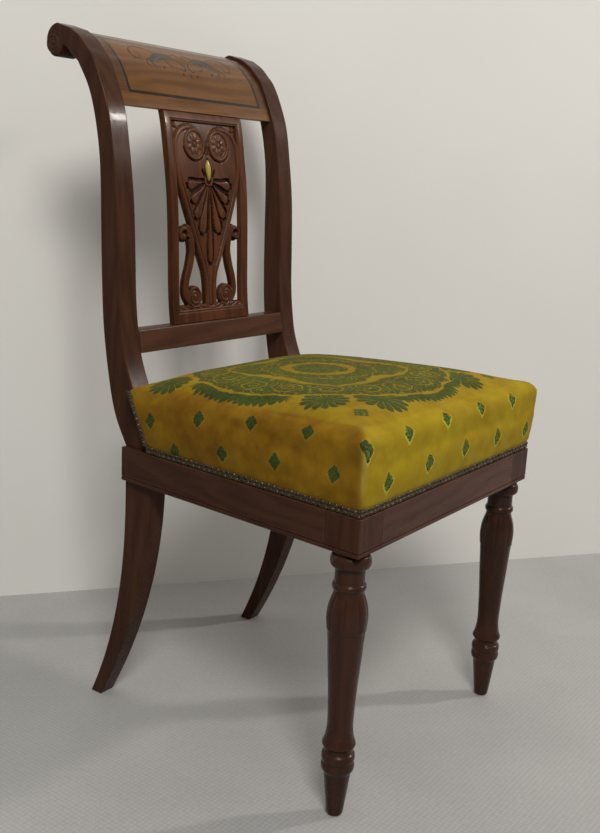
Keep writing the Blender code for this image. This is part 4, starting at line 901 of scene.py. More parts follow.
def splat_relief(x, z):
    """The carving within the border: distance from its pierced outline, negative inside, and its depth below the
    border's face. Each thing carved is laid over the one before: ground, heart, lobes, bands, rosettes, palmette,
    side scrolls, foot."""
    side = np.abs(x)
    edge = smooth_line(HEART_EDGE, 90)
    heart_top = [(HEART_EDGE[-1][0], 0.238), (-0.02, 0.238), (-0.02, HEART_EDGE[0][1])]
    heart = outline_distance(side, z, np.vstack([edge, heart_top]))
    ground = box_distance(side, z, (-1.0, HEART_EDGE[-1][1] - 0.002), (1.0, 1.0))
    foot = box_distance(side, z, (-1.0, -1.0), (1.0, SPLAT_BARS[2] + 0.006))
    reach = np.hypot(side - LOBE[0], z - LOBE[1])
    turn = np.arctan2(z - LOBE[1], side - LOBE[0])
    lobe = np.hypot(side - LOBE_ROUND[0], z - LOBE_ROUND[1]) - LOBE_ROUND[2]
    on_heart = (heart < 0) & (z < LOBE_ROUND[1] - 0.004)

    depth = np.full(x.shape, GROUND_DEPTH)
    corner = np.hypot(side - CORNER_LEAF[0], (z - CORNER_LEAF[1]) / 0.8)
    curl = np.arctan2(z - CORNER_LEAF[1], side - CORNER_LEAF[0])
    depth = np.where(corner < 0.0060 * (0.70 + 0.30 * np.cos(3 * curl + 0.6)), 0.0024 + 0.22 * corner, depth)

    swelled = np.sin(math.pi * np.clip(side / 0.066, 0.0, 1.0)) * np.clip((z - 0.09) / 0.08, 0.0, 1.0)
    panel = 0.0026 - 0.0010 * swelled
    depth = np.where(on_heart | (lobe < 0), panel, depth)
    edge_gap = np.where(lobe < 0, np.maximum(-lobe, np.where(on_heart, -heart, 0.0)), -heart)
    band = 0.0007 + 0.0019 * rolled(np.abs(edge_gap - BAND_HALF) / BAND_HALF)
    on_band = (on_heart | (lobe < 0)) & (edge_gap < 2 * BAND_HALF)
    depth = np.where(on_band, np.minimum(band, np.where(edge_gap > BAND_HALF, panel, 1.0)), depth)
    fade = np.clip((0.205 - z) / 0.03, 0.0, 1.0)
    depth = depth + np.where(on_heart & (np.abs(edge_gap - 0.0082) < 0.0008), 0.0016 * fade, 0.0)

    ring = np.abs(reach - ROSETTE_RING[0]) / ROSETTE_RING[1]
    depth = np.where(ring < 1.0, 0.0006 + 0.0022 * rolled(ring), depth)
    under = (np.abs(reach - 0.0223) < 0.0009) & (turn > -3.05) & (turn < -0.15)
    depth = np.where(under, 0.0040, depth)
    depth = np.where(reach < ROSETTE_REACH, rosette_relief(reach, turn), depth)

    shapes = palmette_leaves(side, z)
    for off, half, place, beyond in shapes:
        gap = np.where(place > 0.9, np.maximum(off - half, beyond), off - half)
        depth = np.where((gap < 0.0046) & (place > -0.02) & (beyond < 0.0046), CUT_DEPTH, depth)
    for off, half, place, beyond in shapes:
        inside = (off < half) & (place > 0.0) & (place < 1.0)
        tip = np.exp(-((place - 0.86) / 0.08)**2)
        face = 0.0018 + 0.0006 * (off / np.maximum(half, 1e-6))**4 - 0.0005 * tip + 0.0006 * (1 - place)**2
        depth = np.where(inside, face, depth)
    hub = np.hypot(side, z - PALMETTE_RISE)
    calyx = np.hypot((side - 0.0105 - 0.45 * (z - 0.2030)) / 0.0024, (z - 0.2030) / 0.0060)
    round_drop = np.abs(side - 0.0064 * np.sin(math.pi * np.clip((z - 0.192) / 0.031, 0.0, 1.0)))
    sunk = (hub < 0.0052) | (calyx < 1.0) | ((round_drop < 0.0013) & (z > 0.192) & (z < 0.223))
    depth = np.where(sunk, CUT_DEPTH, depth)

    away, _ = line_distance(side, z, smooth_line(SIDE_SCROLL, 60))
    arm = away - SIDE_SCROLL_HALF
    arm_depth = 0.0012 + 0.0022 * rolled(away / SIDE_SCROLL_HALF)
    upper, upper_depth = crook_relief(side, z, UPPER_VOLUTE)
    lower, lower_depth = volute_relief(side, z, LOWER_VOLUTE, 0.0062, -1.0)
    depth = np.where((arm < 0) & (heart > 0), arm_depth, depth)
    depth = np.where((upper < 0) & (heart > 0), upper_depth, depth)
    depth = np.where((lower < 0) & (heart > -0.001), lower_depth, depth)
    leaf = np.abs((side / 0.0140 - (z / 0.0150)**2 + 0.35) % 1.0 - 0.5) / 0.5
    depth = np.where((foot < 0) & (heart > 0) & (lower > 0), 0.0020 + 0.0016 * rolled(leaf), depth)

    outside = np.minimum.reduce([heart, ground, foot, lobe, arm, upper, lower])
    depth = depth + 0.0018 * rolled(1.0 + outside / 0.0018)
    return outside, depth


def make_splat_carving():
    """The carved panel: a grid in (across, up) kept where the carving is solid, its rim moved on to the pierced
    outline along the distance's own slope, with a front by the relief, a flat back and walls between."""
    step = NET_STEP
    xs = np.arange(-PANEL_HALF, PANEL_HALF + step / 2, step)
    zs = np.arange(SPLAT_BARS[2] - 0.0012, SPLAT_HEIGHT - SPLAT_BARS[1] + 0.0012, step)
    x, z = np.meshgrid(xs, zs)
    outside, _ = splat_relief(x, z)
    middle = (outside[1:, 1:] + outside[:-1, 1:] + outside[1:, :-1] + outside[:-1, :-1]) / 4
    kept = middle < 0
    quads = grid_quads(*x.shape)[kept.ravel()]
    padded = np.pad(kept, 1)
    corner = np.stack([padded[1:, 1:], padded[:-1, 1:], padded[1:, :-1], padded[:-1, :-1]])
    rim = corner.any(axis=0) & ~corner.all(axis=0)
    inner = np.zeros_like(rim)
    inner[1:-1, 1:-1] = True
    slope_z, slope_x = np.gradient(outside, step)
    steep = np.maximum(slope_x**2 + slope_z**2, 0.25)
    move = np.where(rim & inner, np.clip(outside / steep, -step, step), 0.0)
    x, z = x - move * slope_x, z - move * slope_z
    _, depth = splat_relief(x, z)
    front = on_splat(x, z, depth).reshape(-1, 3)
    back = on_splat(x, z, np.full(x.shape, SPLAT_THICKNESS - 0.0006)).reshape(-1, 3)
    edges = np.concatenate([quads[:, [k, (k + 1) % 4]] for k in range(4)])
    keys = np.sort(edges, axis=1) @ np.array([x.size, 1])
    _, first, count = np.unique(keys, return_index=True, return_counts=True)
    border = edges[first[count == 1]]
    walls = np.column_stack([border[:, 1], border[:, 0], border[:, 0] + x.size, border[:, 1] + x.size])
    used = np.unique(quads)
    number = np.full(2 * x.size, -1)
    number[used] = np.arange(len(used))
    number[used + x.size] = np.arange(len(used)) + len(used)
    points = np.vstack([front[used], back[used]])
    faces = number[np.vstack([quads, quads[:, ::-1] + x.size, walls])]
    carving = add_piece("splat_carving", points, faces.tolist(), mahogany_carved, "mahogany", replaces=("splat",),
                        sharp=62.0)
    # painted shade: the carving's deepest grooves are marked to be painted nearly black
    shade_in_hollows = np.clip((depth.ravel()[used] - GROUND_DEPTH) / 0.0008, 0.0, 1.0)
    write_mark(carving.data, "carved_hollow", np.concatenate([shade_in_hollows, np.zeros(len(used))]))


def make_drop():
    """The pale drop: a pointed lens, fuller in its upper half, domed across."""
    t = np.linspace(0.0, 1.0, 41)[:, None]
    v = np.linspace(-1.0, 1.0, 13)[None]
    x = DROP_HALF_WIDTH * np.sin(math.pi * t**1.18)**0.85 * v
    z = DROP_RISE + DROP_HALF_LENGTH - 2 * DROP_HALF_LENGTH * (1 - t) + 0 * v
    dome = np.sqrt(np.clip(np.sin(math.pi * t) * (1 - v**2), 0.0, 1.0))
    top, base = on_splat(x, z, 0.0014 - 0.0015 * dome), on_splat(x, z, np.full(x.shape, 0.0036))
    count = x.size
    faces = grid_quads(*x.shape)
    index = np.arange(count).reshape(x.shape)
    rim = np.concatenate([index[0], index[1:, -1], index[-1, -2::-1], index[-2:0:-1, 0]])
    after = np.roll(rim, -1)
    walls = np.column_stack([rim, after, after + count, rim + count])
    add_piece("boxwood_drop", np.concatenate([top.reshape(-1, 3), base.reshape(-1, 3)]),
              np.vstack([faces, faces[:, ::-1] + count, walls]).tolist(), boxwood, "boxwood_inlay",
              replaces=("splat_drop_inlay",), sharp=50.0)


# ---- front legs and seat frame


def bead_groove():
    """The groove above a rail's bead, as (in from the face, up)."""
    wide, deep = BEAD_GROOVE
    sharp = 0.0001
    return [(0.0, BEAD_TOP), (deep, BEAD_TOP + sharp), (deep, BEAD_TOP + wide - sharp), (0.0, BEAD_TOP + wide)]


def make_front_legs():
    """A turned leg: the profile's radius carried round its axis, with petals cut in the vase by lowering the wood
    towards the seams between them; and its square block, drawn in for the groove above the bead."""
    profile = smooth_line(LEG_TURNING, 420)
    height = np.maximum(profile[:, 0], 0.0)[:, None]
    turn = np.linspace(0.0, 2 * math.pi, 161)[None, :-1]
    radius = np.maximum(profile[:, 1], 0.004)[:, None] / 2 + 0 * turn
    t = np.clip((height - PETAL_SPAN[0]) / (PETAL_SPAN[1] - PETAL_SPAN[0]), 0.0, 1.0)
    cell = np.abs((turn * PETALS / (2 * math.pi) + 0.5) % 1.0 - 0.5) * 2
    on_vase = np.clip(np.sin(math.pi * t) * 4.0, 0.0, 1.0)
    seam = np.exp(-((1 - cell) / 0.09)**2)
    radius = radius - on_vase * (0.0007 * seam + 0.0009 * cell**2)
    block_out = FRONT_HALF - LEG_BLOCK
    plan = np.array([(block_out + JOINT, 0.0), (side_face(0.0), 0.0), (side_face(LEG_BLOCK), LEG_BLOCK - JOINT),
                     (block_out + JOINT, LEG_BLOCK - JOINT)])
    ends = np.column_stack(end_rounding(RAIL_BOTTOM, RAIL_TOP, 0.0010))
    insets, heights = np.insert(ends, len(ends) // 2, bead_groove(), axis=0).T
    block = loft(eased(plan, [0.0004, 0.0018, 0.0004, 0.0004]), insets, heights)
    for name, side in SIDES:
        x = side * (FRONT_HALF - LEG_BLOCK / 2) + radius * np.cos(turn)
        y = LEG_BLOCK / 2 + radius * np.sin(turn)
        add_piece("turned_leg_" + name, np.stack([x, y, height + 0 * turn], -1), tube_faces(*x.shape),
                  mahogany_turned, "mahogany", replaces=("front_leg_" + name,), sharp=45.0)
    add_pair("leg_block_", *block, mahogany_upright, "mahogany", even=True)


def rail_section():
    """A seat rail's section as (in from the face, up): bead, groove, face, ledge, and the strip under the webbing."""
    corners = eased([(0.0, RAIL_BOTTOM), (0.0, RAIL_TOP), (LIP_INSET, RAIL_TOP), (LIP_INSET, LIP_TOP),
                     (RAIL_THICKNESS, LIP_TOP), (RAIL_THICKNESS, RAIL_BOTTOM)], ARRIS)
    face = np.flatnonzero((corners[:, 0] < 1e-9) & (corners[:, 1] > BEAD_TOP))[0]
    return np.vstack([corners[:face + 1], bead_groove()[::-1], corners[face + 1:]])


def make_seat_rails():
    """Front, rear and side rails; the side rails follow the seat's splay and run on past the stiles as a cheek."""
    def without_doubles(line):
        return line[np.linalg.norm(line - np.roll(line, 1, axis=0), axis=1) > 1e-6]

    section = rail_section()
    cross_rail("dressed_rail_front", section, FRONT_HALF - LEG_BLOCK - JOINT, 0.0002, mahogany_across_lit, "mahogany",
               "seat_rail_front")
    cross_rail("dressed_rail_rear", section * [-1.0, 1.0] + [SEAT_END, 0.0], STILE_INNER - JOINT, 0.0002,
               mahogany_across_lit, "mahogany", "seat_rail_rear")
    cheek = side_face(SEAT_END) - STILE_OUTER - JOINT
    outer = without_doubles(np.minimum(section, [cheek, RAIL_TOP]))
    inner = without_doubles(np.maximum(section, [cheek - 0.0002, 0.0]))
    points, faces = together(bar(outer, LEG_BLOCK + JOINT, SEAT_END, 0.0004),
                             bar(inner, LEG_BLOCK + JOINT, SEAT_DEPTH - JOINT, 0.0002))
    inset, z, y = points.T
    add_pair("dressed_rail_", np.column_stack([side_face(y) - inset, y, z]), faces, mahogany_along, "mahogany",
             stands_for="seat_rail_", even=True)


def dress_pegs():
    """The pegs keep their own solids and only take a finish."""
    for name, _ in SIDES:
        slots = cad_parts["tenon_peg_" + name].data.materials
        slots.clear()
        slots.append(peg_oak)


# ---- velvet


def green_masks(tree):
    """The woven design: on the top a medallion of foliage, with a fringe of leaflets on each of its four sides and a
    pair of half-rosettes at each corner; on the walls two rows of florets, which are ragged diamonds. It is laid out
    in (turn, distance) about the middle, and a noise pulls it about as a loom does. The foliage is a disc cut by gold
    lines: a scalloped band, two rings, a round of spiral scrolls, and the contour lines of a noise."""
    place = object_place(tree)
    swirl = noise(tree, place, 46.0, 1.0)
    drift = node(tree, "ShaderNodeSeparateColor",
                 Color=node(tree, "ShaderNodeTexNoise", Vector=place, Scale=42.0, Detail=2.0).outputs["Color"])
    ragged = noise(tree, place, 380.0, 3.0) - 0.5
    x, y = (value + (Field(tree, pull) - 0.5) * 0.011 for value, pull in zip(parts(tree, place)[:2], drift.outputs))
    wall = node(tree, "ShaderNodeAttribute", attribute_name="wall_cloth")
    along, down, on_wall = parts(tree, wall.outputs["Vector"])
    dy = y - (MEDALLION_MIDDLE + FRONT_FACE)
    reach = hypotenuse(x, dy) + ragged * 0.0026 + (swirl - 0.5) * 0.012
    turn = x.sum("ARCTAN2", dy * -1.0)

    def spray(cx, cy, lean, size):
        a, b = x - cx, y - (cy + FRONT_FACE)
        far = hypotenuse(a, b) + ragged * 0.0026
        lobes = abs(((b.sum("ARCTAN2", a) - math.radians(lean)) * 7.0).wave())
        slits = (lobes * (far * (1.0 / size))).under(0.10, 0.10) * far.over(0.34 * size, 0.003)
        return (far - lobes.power(0.45) * (0.30 * size)).under(0.70 * size, 0.0014) * (slits * -0.75 + 1.0)

    sides = (turn * 4.0).wave()
    leaflets = abs((turn * 60.0).wave()).power(0.55)
    beyond = reach.over(FRINGE_ROOT, 0.0014)
    fringe = (reach - leaflets * LEAFLET).under(FRINGE_TIP, 0.0016) * sides.over(-0.10, 0.20) * beyond
    foliage = (reach - leaflets * 0.0015).under(MEDALLION, 0.0012)
    lobes = abs((turn * 14.0).wave()).power(0.6)
    band = abs(reach + sides * 0.0130 - GOLD_BAND + lobes * 0.0022) - sides * 0.0026 - lobes * 0.0016
    inner_ring = abs(reach - GOLD_RING) - lobes * 0.0035
    bare = band.under(0.0042, 0.0016).most(inner_ring.under(0.0038, 0.0016))
    bare = bare.most(abs(reach - FINE_RING - lobes * 0.0060).under(0.0010, 0.0012))

    cells = turn * (SCROLLS / (2 * math.pi))
    flip = (cells.sum("FLOOR") * math.pi).wave()
    a = cells.part() * 0.0480
    b = (reach - SCROLL_ROUND) * flip
    curl_reach = hypotenuse(a, b + 0.003)
    curl_turn = (b + 0.003).sum("ARCTAN2", a)
    spiral = abs((curl_reach * (1.0 / 0.0112) - curl_turn * (1.0 / (2 * math.pi))).part())
    scrolls = spiral.under(0.085, 0.080) * curl_reach.under(0.0225, 0.0020)
    outlines = abs((swirl * 6.0 + ragged * 0.7).part()).under(0.060, 0.08)
    foliage = foliage * (bare.most(scrolls).most(outlines) * -0.88 + 1.0)
    sprays = [spray(side * cx, cy, lean if side > 0 else 180.0 - lean, size)
              for cx, cy, lean, size in CORNER_SPRAYS for _, side in SIDES]
    sprays = functools.reduce(Field.most, sprays) * beyond

    def floret(across, rise):
        across = across * 1.22
        far = hypotenuse(across, rise)
        out = (abs(across) + abs(rise)) * 0.78 + far * 0.22 + ragged * 0.0078
        whole = out.under(FLORET, 0.0016)
        heart = ragged.over(0.02, 0.06) * far.under(0.0080, 0.002)
        # a pale rim round each floret, strongest along its lower edge: a painted highlight
        rim = out.under(FLORET + 0.0030, 0.0022) * (whole * -1.0 + 1.0)
        return whole, whole * heart, rim * (rise.under(0.001, 0.008) * 0.85 + 0.15)

    on_top = on_wall * -1.0 + 1.0
    upper = floret((along + 0.5).part() * FLORET_PITCH, down * FLORET_DROP)
    lower = floret(along.part() * FLORET_PITCH, (down + 1.0) * FLORET_DROP)
    corner = floret((abs(x) - 0.158) * 0.76, y - (0.045 + FRONT_FACE))
    florets = [u.most(v) * on_wall for u, v in zip(upper, lower)]
    cell = node(tree, "ShaderNodeCombineXYZ", X=turn * 30.0, Y=reach * 190.0).outputs[0]
    net = node(tree, "ShaderNodeTexVoronoi", feature="DISTANCE_TO_EDGE", Vector=cell, Scale=1.0)
    veins = Field(tree, net.outputs["Distance"]).under(0.08, 0.10)
    top = foliage.most(fringe).most(sprays) * mark(tree, "over_edge").most(on_top)
    top = top.most(corner[0] * on_top)
    return top.most(florets[0]), florets[1].most(corner[1] * on_top), florets[2], ragged, veins * on_top


def make_velvet():
    """Cut velvet in gold and green: lighter and yellower on the front wall and on the top, partly the lie of the nap
    and partly painted light from the front; a painted sheen at grazing angles; painted pale rims on the florets; pale
    on the corners where wear reaches it; and the canvas under the stuffing."""
    material, tree, shader = open_finish("gold_velvet")
    green, light, rim, ragged, veins = green_masks(tree)
    place = object_place(tree)
    broad = noise(tree, place, 13.0, 5.0)
    fine = noise(tree, place, 900.0, 2.0)
    patches = noise(tree, place, 48.0, 3.0)
    cloudy = (broad * 2.1 + patches * 1.9 - 1.50).clamped()
    # share of the lighter gold: partly the lie of the nap and partly painted light, for the front wall lit from the
    # front
    pile_lie_and_light = mark(tree, "pile_light")
    # the gold on the side walls, darker, partly as painted shade
    across = blend(tree, cloudy, (0.150, 0.066, 0.0042, 1.0), (0.255, 0.136, 0.0070, 1.0))
    # the gold on the front wall, lighter, partly as painted light
    front_lit_gold = blend(tree, cloudy, (0.255, 0.165, 0.0066, 1.0), (0.345, 0.246, 0.0090, 1.0))
    gold = blend(tree, pile_lie_and_light, across, front_lit_gold)
    leaf = blend(tree, cloudy, (0.012, 0.029, 0.0095, 1.0), (0.030, 0.062, 0.0165, 1.0))
    leaf = blend(tree, veins * 0.45, leaf, (0.075, 0.100, 0.0180, 1.0))
    # floret hearts lighter on the front wall: partly painted light
    leaf = blend(tree, pile_lie_and_light * light * 0.8, leaf, (0.120, 0.230, 0.0360, 1.0))
    woven = blend(tree, green, gold, leaf)
    woven = blend(tree, light * 0.35, woven, (0.085, 0.120, 0.0300, 1.0))
    # painted highlight: pale rims on the florets, strongest on the front wall
    woven = blend(tree, rim * (pile_lie_and_light * 0.75 + 0.10), woven, (0.46, 0.47, 0.060, 1.0))
    wear_and_highlight = mark(tree, "rubbed_pile") * (ragged * 1.5 + 0.95).clamped() * (green * -0.9 + 1.0)
    woven = blend(tree, wear_and_highlight * 0.8, woven, (0.50, 0.37, 0.085, 1.0))
    shaded = blend(tree, (fine * 0.9 - 0.2).clamped() * 0.30, woven, (0.04, 0.022, 0.003, 1.0))
    # painted sheen: lighter gold where the velvet is seen at a grazing angle
    grazing_sheen = Field(tree, node(tree, "ShaderNodeLayerWeight", Blend=0.22).outputs["Facing"])
    lit = blend(tree, grazing_sheen * 0.14, shaded, (0.36, 0.28, 0.040, 1.0))
    canvas = blend(tree, fine, (0.110, 0.072, 0.036, 1.0), (0.340, 0.245, 0.130, 1.0))
    fill(tree, shader, Base_Color=blend(tree, mark(tree, "bed_canvas"), lit, canvas), Roughness=0.95,
         Specular_IOR_Level=0.08, Sheen_Weight=0.09, Sheen_Roughness=0.40, Sheen_Tint=(0.80, 0.65, 0.16, 1.0))
    bumped(tree, shader, fine * 0.6 + green * 0.8 + broad * 0.8, 0.35, 0.0012)
    return material


def seat_outline(rise, outset, count):
    """The seat in plan at a rise above the rails, moved out by an outset; its rear corners step in for the stiles,
    whose faces lean back as they rise."""
    notch = back_face(RAIL_TOP + rise) - 0.0012
    inner = STILE_INNER - 0.0012
    rear = max(SEAT_END + outset, notch + 0.004)
    wide = side_face(notch) + outset
    right = [(side_face(0.0) + outset, -outset), (wide, notch), (inner, notch), (inner, rear)]
    corners = np.array(right + [(-x, y) for x, y in right[::-1]])
    soft = eased(corners, 0.0045, 5)
    return even_steps(np.vstack([soft, soft[:1]]), count + 1)[:-1]


def stuffed_form(inset):
    """The stuffed seat as rings from the middle of its bed, out and down over the rail's lip, up its sides, round the
    shoulder and in to the crown; the sides swell as a quarter sine, and the crown is 1 - distance^5 across and along.
    The front corners are pulled out and up, where the cover is folded."""
    count = 420

    def fallen(plan):
        return REAR_FALL * (np.clip(plan[:, 1], 0.0, None) / SEAT_END)**2

    def ring(rise, outset, fall=0.0):
        plan = seat_outline(rise, outset - inset, count)
        return np.column_stack([plan, RAIL_TOP + rise - fall * fallen(plan)])

    bed = ring(BED - RAIL_TOP, -0.0150)
    middle = np.array([0.0, SEAT_MIDDLE, BED])
    rings = [middle + (bed - middle) * share for share in (0.0, 0.35, 0.7, 1.0)]
    rings += [ring(0.0022, -0.0145), ring(0.0022, TUCK), ring(0.0100, TUCK), ring(0.0112, WALL_FOOT)]
    for share in np.linspace(0.0, 1.0, 9)[1:]:
        fullness = math.sin(math.pi / 2 * min(share / 0.80, 1.0))
        rings.append(ring(0.014 + (EDGE_RISE - SHOULDER - 0.014) * share,
                          WALL_FOOT + (BULGE - WALL_FOOT) * fullness, share))
    for angle in np.linspace(0.0, math.pi / 2, 7)[1:]:
        rings.append(ring(EDGE_RISE - SHOULDER * (1 - math.sin(angle)) - inset * math.sin(angle),
                          BULGE - SHOULDER * (1 - math.cos(angle)), 1.0))
    rim = rings[-1][:, :2]
    for share in np.linspace(1.0, 0.0, 40)[1:]:
        plan = middle[:2] + (rim - middle[:2]) * share
        u = np.clip(plan[:, 0] / (side_face(plan[:, 1]) + BULGE - SHOULDER), -1.0, 1.0)
        v = np.clip((plan[:, 1] - 0.5 * SEAT_END) / (0.5 * SEAT_END + BULGE - SHOULDER), -1.0, 1.0)
        dome = (1 - np.abs(u)**CROWN_FULLNESS) * (1 - np.abs(v)**CROWN_FULLNESS)
        rings.append(np.column_stack([plan, RAIL_TOP + EDGE_RISE - inset - fallen(plan) + CROWN * dome]))
    x, y, z = np.moveaxis(np.array(rings), -1, 0)
    by_corner = np.exp(-(np.hypot(np.abs(x) - side_face(0.0), y) / 0.030)**2)
    pull = 0.0030 * by_corner * np.clip((z - RAIL_TOP - 0.02) / 0.06, 0.0, 1.0)
    pulled = np.stack([x + pull * np.sign(x), y - pull, z + pull], -1)
    return pulled, grid_quads(len(rings), count, close_columns=True)


def settled(piece):
    """Replaces a piece's mesh with the result of its modifiers."""
    graph = bpy.context.evaluated_depsgraph_get()
    mesh = bpy.data.meshes.new_from_object(piece.evaluated_get(graph))
    piece.modifiers.clear()
    piece.data = mesh


def spots(mesh):
    """A mesh's points as an array, with depths measured from the front rail's face."""
    flat = np.empty(3 * len(mesh.vertices))
    mesh.vertices.foreach_get("co", flat)
    return flat.reshape(-1, 3) - [0.0, FRONT_FACE, 0.0]


def put_spots(mesh, points):
    mesh.vertices.foreach_set("co", (points + [0.0, FRONT_FACE, 0.0]).ravel())
    mesh.update()


def calmed(mesh, shift, passes=24):
    """Evens out movements over a mesh: in each pass a point's becomes the mean of its own and its neighbours'."""
    ends = np.empty(2 * len(mesh.edges), int)
    mesh.edges.foreach_get("vertices", ends)
    a, b = ends.reshape(-1, 2).T
    count = np.bincount(np.concatenate([a, b]), minlength=len(shift))[:, None]
    for _ in range(passes):
        near = np.column_stack([np.bincount(a, shift[b, k], len(shift)) + np.bincount(b, shift[a, k], len(shift))
                                for k in range(3)])
        shift = 0.5 * shift + 0.5 * near / count
    return shift


def swell(piece, held, most):
    """Lets the stuffing push the velvet out: cloth under pressure with its nailed edge held, no point moving further
    than the most given."""
    start = spots(piece.data)
    group = piece.vertex_groups.new(name="nailed")
    for level in np.unique(np.round(held, 1)):
        group.add(np.flatnonzero(np.round(held, 1) == level).tolist(), float(level), "REPLACE")
    cloth = piece.modifiers.new("swell", "CLOTH")
    for setting, value in dict(quality=5, mass=0.35, tension_stiffness=30.0, compression_stiffness=30.0,
                               shear_stiffness=12.0, bending_stiffness=1.5, use_pressure=True,
                               uniform_pressure_force=4.0, vertex_group_mass="nailed").items():
        setattr(cloth.settings, setting, value)
    cloth.settings.effector_weights.gravity = 0.0
    cloth.collision_settings.use_collision = False
    cloth.point_cache.frame_start, cloth.point_cache.frame_end = 1, 20
    scene = bpy.context.scene
    for step in range(1, 21):
        scene.frame_set(step)
    settled(piece)
    scene.frame_set(1)
    shift = calmed(piece.data, spots(piece.data) - start)
    size = np.linalg.norm(shift, axis=1)[:, None]
    put_spots(piece.data, start + shift * np.minimum(1.0, most / np.maximum(size, 1e-9)))


def make_seat():
    """The stuffed seat: its form remeshed evenly, swollen as cloth, then marked with where its design lies."""
    rings, faces = stuffed_form(COVER_INSET)
    seat = add_piece("velvet_seat", rings, faces.tolist(), make_velvet(), "gold_velvet",
                     replaces=("seat_cover", "seat_stuffing"), sharp=180.0)
    remesh = seat.modifiers.new("even_net", "REMESH")
    remesh.mode, remesh.voxel_size = "VOXEL", NET_SIZE
    settled(seat)
    x, y, z = spots(seat.data).T
    low = np.clip((RAIL_TOP + 0.030 - z) / 0.018, 0.0, 1.0)
    bed = (np.abs(z - BED) < 0.004) & (np.abs(x) < side_face(y) - 0.012)
    stile = (y > back_face(z) - 0.006) & (np.abs(x) > STILE_INNER - 0.006)
    swell(seat, np.maximum(low, (bed | stile).astype(float)), MOST_SWELL)
    x, y, z = spots(seat.data).T
    to_front, to_side, to_rear = y + BULGE, side_face(y) + BULGE - np.abs(x), SEAT_END + BULGE - y
    front = to_front < to_side
    nearest = np.minimum(to_front, to_side)
    to_edge = np.minimum(nearest, to_rear)
    pucker = np.exp(-np.clip(z - RAIL_TOP - 0.010, 0.0, None) / 0.016) * np.clip(1 - nearest / 0.012, 0.0, 1.0)
    ripple = np.sin(np.where(front, x, y) * 2 * math.pi / 0.031) * 0.0005 * pucker
    x, y = x - np.where(front, 0.0, np.sign(x) * ripple), y + np.where(front, ripple, 0.0)
    put_spots(seat.data, np.column_stack([x, y, z]))

    # florets counted along the front and the side walls, and rows down from the upper one, which follows the edge
    along = np.where(front, (x + 0.214) / 0.0897, (y + 0.003) / 0.083)
    level = np.where(front, 0.461 - 0.2 * x**2, 0.4605 - 0.42 * (y - 0.03)**2)
    down = (z + np.clip(nearest - 0.006, 0.0, None) - level) / np.where(front, 0.0455, 0.041)
    on_wall = np.clip((0.026 - to_edge) / 0.004, 0.0, 1.0)
    # share of the front wall over the side wall, for the lighter gold on the front, which is partly painted light
    lean = np.clip(0.5 + (to_side - to_front) / 0.008, 0.0, 1.0)
    write_mark(seat.data, "wall_cloth", np.column_stack([along, down, on_wall]))
    write_mark(seat.data, "over_edge", np.clip((to_edge - 0.007) / 0.004, 0.0, 1.0))
    # lighter gold on the front wall and, at a fixed share, on the top: partly painted light
    write_mark(seat.data, "pile_light", on_wall * lean + (1 - on_wall) * 0.62)
    write_mark(seat.data, "rubbed_pile", np.exp(-(np.hypot(to_front - 0.002, to_side - 0.002) / 0.0050)**2))
    write_mark(seat.data, "bed_canvas", (z < BED + 0.006) & (to_edge > 0.011))
    seat.data.shade_smooth()
    finer = seat.modifiers.new("finer", "SUBSURF")
    finer.levels = finer.render_levels = 1


# ---- braid and nails


def make_braid_finish():
    """Dark braid: twisted cords across the strip, with a little gilt thread left on their crests."""
    material, tree, shader = open_finish("bronze_braid")
    place = object_place(tree)
    x, y, z = parts(tree, place)
    twist = ((x + y) * 1500.0 + z * 1400.0).wave() * 0.5 + 0.5
    rows = abs((z * (math.pi / 0.0034)).wave())
    fine = noise(tree, place, 700.0, 3.0)
    height = twist * 0.6 + rows * 0.5 + fine * 0.3
    colour = blend(tree, (height - 0.3).clamped(), (0.008, 0.0055, 0.003, 1.0), (0.060, 0.040, 0.016, 1.0))
    fill(tree, shader, Base_Color=colour, Roughness=fine * 0.3 + 0.55)
    bumped(tree, shader, height, 0.7, 0.0012)
    return material


def make_nail_finish():
    """Old brass: dull brown in the dips, brighter on top where it wears, and that brightness is partly a painted
    highlight.
    """
    material, tree, shader = open_finish("old_brass")
    place = object_place(tree)
    patch = noise(tree, place, 160.0, 4.0)
    # painted highlight and wear: lighter where the bevel finds an edge
    wear_and_highlight = use_group(tree, WEAR_AND_HIGHLIGHT, Reach=0.0008, Amount=0.4).outputs[0]
    tone = blend(tree, (patch * 2.6 - 0.95).clamped(), (0.030, 0.020, 0.011, 1.0), (0.230, 0.160, 0.075, 1.0))
    fill(tree, shader, Base_Color=blend(tree, wear_and_highlight, tone, (0.36, 0.27, 0.14, 1.0)), Metallic=1.0,
         Roughness=patch * 0.35 + 0.28)
    bumped(tree, shader, patch, 0.2, 0.0003)
    return material


def braid_strip(path, out, low, high):
    """A strip of braid along a path in plan: its section has two rounded cords and a dip between."""
    v = np.linspace(0.0, 1.0, 15)
    cords = 0.35 + 0.65 * np.abs(np.sin(2 * math.pi * v))**0.6
    proud = 0.0012 * cords * np.sin(math.pi * np.clip(v, 0.02, 0.98))**0.3
    section = np.vstack([np.column_stack([proud, low + (high - low) * v]), [(-0.0014, high), (-0.0014, low)]])
    flat = path[:, None] + out * section[None, :, :1]
    up = np.broadcast_to(section[None, :, 1:], flat.shape[:2] + (1,))
    points = np.concatenate([flat, up], axis=2)
    return points, tube_faces(*points.shape[:2])


